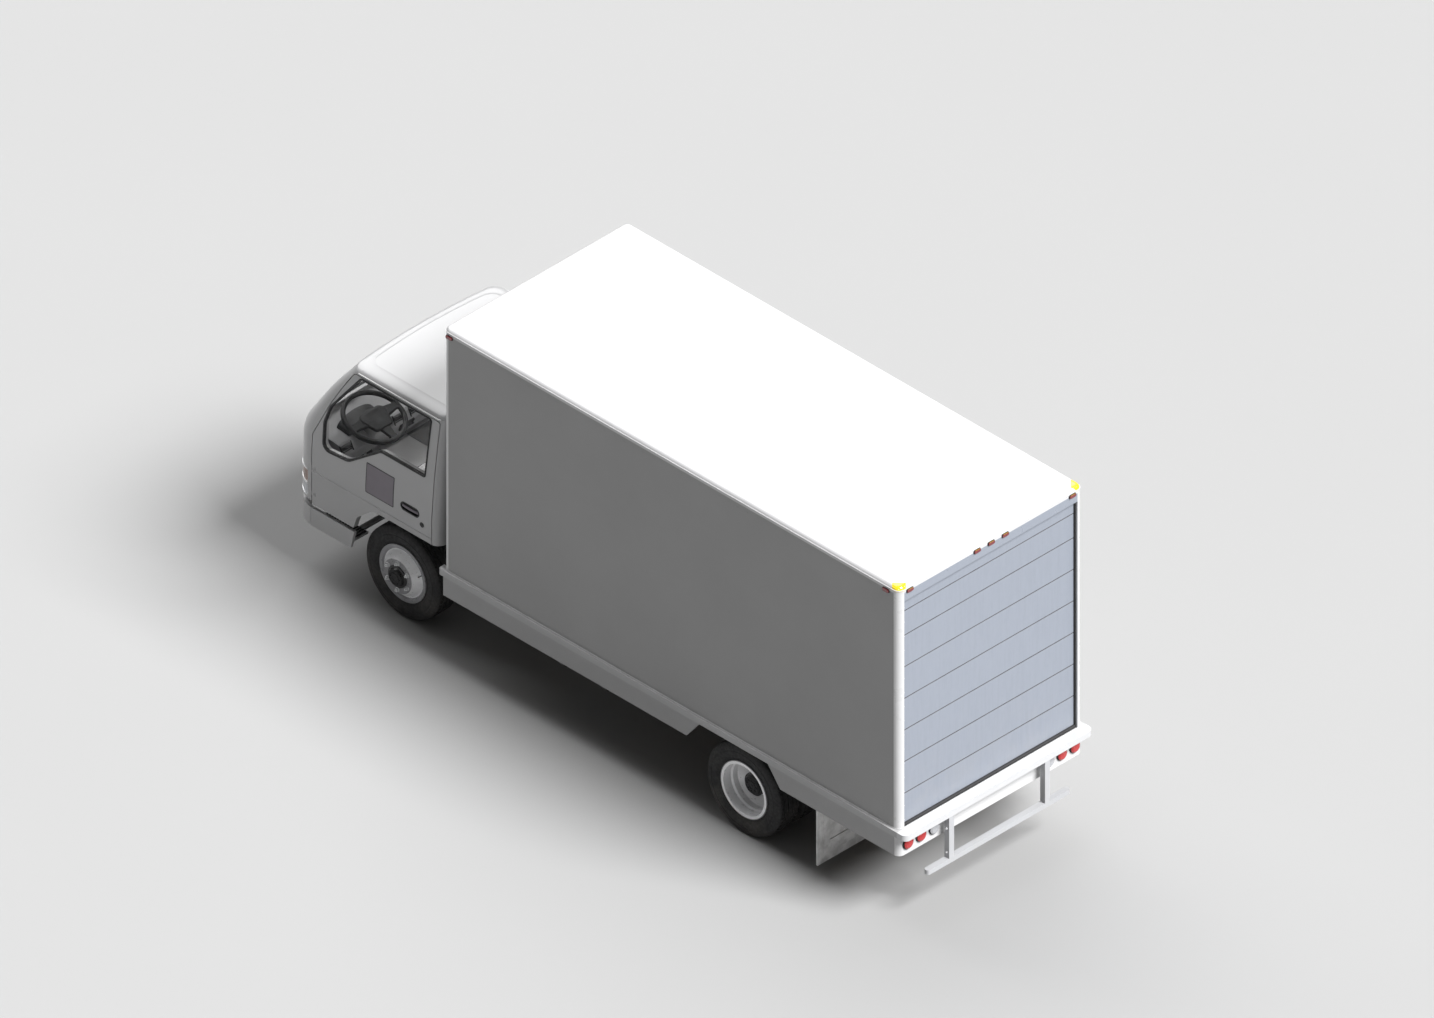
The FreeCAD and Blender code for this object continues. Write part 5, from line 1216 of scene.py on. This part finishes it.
def engine_core():
    """The pieces that stand for the plain block: casting, sump and head cover."""
    block = Form().front_plate(mm(-150, 600, -165, 660, -150, 790, 150, 790, 165, 660, 150, 600), -0.405, 0.52)
    for sign in (1, -1):
        for x in spaced(-0.375, 0.09, 6):
            block.block(at(x, sign * 0.16 - 0.01, 0.615), at(x + 0.014, sign * 0.16 + 0.01, 0.775))
    block.turned(at(-0.434, 0, 0.62), (1, 0, 0), mm(0, 100, 0, 146, 12, 149, 30, 149), 36)
    sump = Form().rings([[at(x0, -half, z0), at(x0, half, z0), at(x1, half, z1), at(x1, -half, z1)]
                         for x0, z0, x1, z1, half in ((-0.39, 0.602, 0.1, 0.602, 0.135),
                                                      (-0.38, 0.52, 0.08, 0.545, 0.115),
                                                      (-0.36, 0.473, -0.06, 0.473, 0.095))])
    top = Form().front_plate(mm(-125, 788, -125, 822, -90, 858, 90, 858, 125, 822, 125, 788), -0.385, 0.48)
    for x in spaced(-0.36, 0.068, 7):
        top.block(at(x, -0.085, 0.856), at(x + 0.01, 0.085, 0.863))
    top.turned(at(0.02, 0.045, 0.85), (0, 0, 1), mm(0, 30, 10, 30, 14, 24, 17.5, 24), 20)
    for piece in (block.piece("engine_casting", "cast_metal", "chassis", bevel=0.004),
                  sump.piece("engine_sump", "frame_black", "chassis", bevel=0.01),
                  top.piece("engine_head_cover", "engine_alloy", "chassis", "cast_metal", bevel=0.006)):
        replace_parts(piece, "engine_block")


def manifolds():
    pipes, hot = Form(), Form()
    for x in spaced(-0.33, 0.115, 4):
        pipes.tube([at(x, 0.14, 0.755), at(x, 0.185, 0.765), at(x, 0.215, 0.742)], 0.021, (1, 0, 0), 14)
        hot.tube([at(x, -0.14, 0.74), at(x, -0.18, 0.742), at(x - 0.02, -0.205, 0.705)], 0.018, (1, 0, 0), 14)
    pipes.tube([at(-0.39, 0.222, 0.728), at(0.05, 0.222, 0.728)], 0.031, (0, 0, 1), 18)
    hot.tube([at(-0.385, -0.21, 0.69), at(0.03, -0.21, 0.69)], 0.027, (0, 0, 1), 16)
    hot.turned(at(-0.2, -0.195, 0.632), (0, -1, 0), mm(-20, 30, 0, 52, 30, 56, 50, 40, 58, 24), 24)
    pipes.piece("intake_manifold", "engine_alloy", "chassis", "cast_metal", 40.0, 0.002)
    hot.piece("exhaust_manifold", "exhaust_steel", "chassis", smooth=40.0, bevel=0.002)


def belt_drive():
    """Front cover with its pulleys and alternator, the belt round them, and the fan."""
    front = Form().front_plate(mm(-130, 610, -140, 720, -90, 800, 90, 800, 140, 720, 130, 610), 0.114, 0.022)
    pulleys = ((0.0, 0.64, 0.072, -180, 0), (0.165, 0.735, 0.028, -10, 110), (0.0, 0.765, 0.05, 120, 190))
    loop = []
    for y, z, radius, first, last in pulleys:
        front.turned(at(0.134, y, z), (1, 0, 0), [(0, radius * 0.4), (0.008, radius), (0.014, radius - 0.006),
                                                  (0.02, radius), (0.026, radius * 0.8), (0.028, radius * 0.3)], 32)
        for turn in arc(first, last, 10):
            loop.append(at(0.148, y + (radius + 0.001) * cos(turn), z + (radius + 0.001) * sin(turn)))
    front.turned(at(0.015, 0.165, 0.735), (1, 0, 0), mm(0, 30, 6, 52, 100, 52, 112, 34), 24)
    front.piece("engine_front", "engine_alloy", "chassis", "cast_metal", bevel=0.0015)
    belt = Form().swept(loop, mm(-2.5, -6, 2.5, -6, 2.5, 6, -2.5, 6), (1, 0, 0), joined=True)
    belt.piece("fan_belt", "black_rubber", "chassis", "tyre_rubber")
    hub = at(0.17, 0, 0.72)
    fan = Form().turned(hub, (1, 0, 0), mm(-12, 30, 0, 46, 18, 46, 26, 34), 28)
    for turn in circle(7):
        radial = Vector((0, cos(turn), sin(turn)))
        beside = Vector((0, -sin(turn), cos(turn)))
        rings = []
        for reach, half, twist in mm3(40, 18, 14, 90, 30, 11, 140, 34, 8):
            low = hub + radial * reach - beside * half + Vector((0.01 + twist, 0, 0))
            high = hub + radial * reach + beside * half + Vector((0.01 - twist, 0, 0))
            rings.append([low, high, high + Vector((0.003, 0, 0)), low + Vector((0.003, 0, 0))])
        fan.rings(rings)
    fan.piece("engine_fan", "black_plastic", "chassis", bevel=0.001)


def engine():
    """Four-cylinder engine inside its plain block's space."""
    engine_core()
    manifolds()
    belt_drive()


def spring_clamps():
    """Spring bolts over each leaf pack with their plates, and the shock absorbers."""
    clamps, shocks = Form(), Form()
    for sign in (1, -1):
        y = sign * SPRING_Y
        for x, reach, top, low in ((0.0, 0.045, 0.424, 0.286), (-3.81, 0.07, 0.52, 0.322)):
            for end in (x - reach, x + reach):
                clamps.tube([at(end, y + across, z) for across, z in (
                    (-0.041, low - 0.012), (-0.041, top - 0.012), (-0.03, top), (0.03, top), (0.041, top - 0.012),
                    (0.041, low - 0.012))], 0.007, (1, 0, 0))
                for across in (-0.041, 0.041):
                    clamps.turned(at(end, y + across, low), (0, 0, -1), mm(0, 12, 10, 12, 12, 10), 6)
            clamps.block(at(x - reach - 0.018, y - 0.056, low), at(x + reach + 0.018, y + 0.056, low + 0.012))
            clamps.block(at(x - reach - 0.01, y - 0.034, top - 0.01), at(x + reach + 0.01, y + 0.034, top - 0.004))
        for x, foot, head in ((0.03, 0.35, 0.16), (-3.76, 0.4, 0.26)):
            base = at(x, sign * 0.385, foot)
            tip = at(x + head, sign * 0.372, 0.665)
            length = (tip - base).length
            profile = mm(0, 14, 20, 14, 24, 26) + [(length * share, radius) for share, radius in (
                (0.52, 0.026), (0.54, 0.02), (0.545, 0.011), (0.56, 0.011), (0.565, 0.032), (0.93, 0.032),
                (0.95, 0.016), (1, 0.016))]
            shocks.turned(base, tip - base, profile)
            for end in (base, tip):
                shocks.turned(end - Vector((0, sign * 0.045, 0)), (0, sign, 0), mm(0, 10, 58, 10, 60, 8), 14)
                shocks.turned(end - Vector((0, sign * 0.018, 0)), (0, sign, 0), mm(0, 20, 36, 20), 18)
    clamps.piece("spring_clamps", "frame_black", "chassis", bevel=0.001)
    shocks.piece("shock_absorbers", "frame_black", "chassis", bevel=0.001)


def frame_rivets():
    form = Form()
    for sign in (1, -1):
        for i in range(24):
            for z in (0.612, 0.722):
                rivet(form, at(0.6 - 0.25 * i, sign * RAIL_FACE, z), (0, sign, 0), 0.009)
    form.piece("frame_rivets", "frame_black", "chassis")
    cap = Form().turned(at(-1.62, 0.742, 0.676), (0, 0.75, 0.66),
            mm(-30, 34, 24, 34, 26, 46, 40, 47, 46, 42, 48, 20), 30)
    cap.piece("fuel_cap", "black_plastic", "chassis", "tank_black")


# Picture setup

def aimed(name, data, way, place=(0, 0, 0)):
    """A camera or lamp in the scene that looks one way."""
    item = bpy.data.objects.new(name, data)
    bpy.context.scene.collection.objects.link(item)
    item.location = place
    item.rotation_mode = "QUATERNION"
    item.rotation_quaternion = Vector(way).to_track_quat("-Z", "Y")
    return item


def add_camera():
    azimuth = radians(VIEW_AZIMUTH)
    elevation = radians(VIEW_ELEVATION)
    back = Vector((sin(azimuth) * cos(elevation), -cos(azimuth) * cos(elevation), sin(elevation)))
    data = bpy.data.cameras.new("camera")
    data.type = "ORTHO"
    data.ortho_scale = VIEW_WIDTH
    data.clip_end = 4 * VIEW_DISTANCE
    bpy.context.scene.camera = aimed("camera", data, -back, VIEW_AIM + back * VIEW_DISTANCE)


def sun(name, toward, strength, spread):
    data = bpy.data.lights.new(name, "SUN")
    data.energy = strength
    data.angle = radians(spread)
    aimed(name, data, -Vector(toward))


def add_floor():
    reach = 60.0
    mesh = bpy.data.meshes.new("studio_floor")
    mesh.from_pydata([(-reach, -reach, 0), (reach, -reach, 0), (reach, reach, 0), (-reach, reach, 0)], [],
                     [(0, 1, 2, 3)])
    floor = bpy.data.objects.new("studio_floor", mesh)
    bpy.context.scene.collection.objects.link(floor)
    shader = Shader("studio_floor")
    shader.set(Base_Color=shader.mix(shader.noise(0.4, 2.0), (0.285, 0.285, 0.285), (0.29, 0.29, 0.29)),
               Roughness=0.9, Specular_IOR_Level=0.1)
    mesh.materials.append(MATERIALS["studio_floor"])


def add_light():
    scene = bpy.context.scene
    world = bpy.data.worlds.new("studio")
    world.use_nodes = True
    background = world.node_tree.nodes["Background"]
    background.inputs["Color"].default_value = (1.0, 1.0, 1.0, 1.0)
    background.inputs["Strength"].default_value = 0.16
    scene.world = world
    scene.view_settings.view_transform = "Standard"
    sun("key", (-0.66, -0.12, 0.74), 8.2, 26.0)
    sun("front_fill", (0.62, -0.28, 0.73), 2.6, 60.0)


make_materials()
finish_nodes()
tyres()
wheel_parts()
window_seals()
door_furniture()
lamp_rims()
body_trim()
door_seals()
rear_hardware()
wipers()
lamp_frames()
grille_parts()
bumper_parts()
step_treads()
steering_pad()
dash_parts()
pedals()
door_cards()
cab_lining()
seats()
engine()
spring_clamps()
frame_rivets()
add_camera()
add_floor()
add_light()
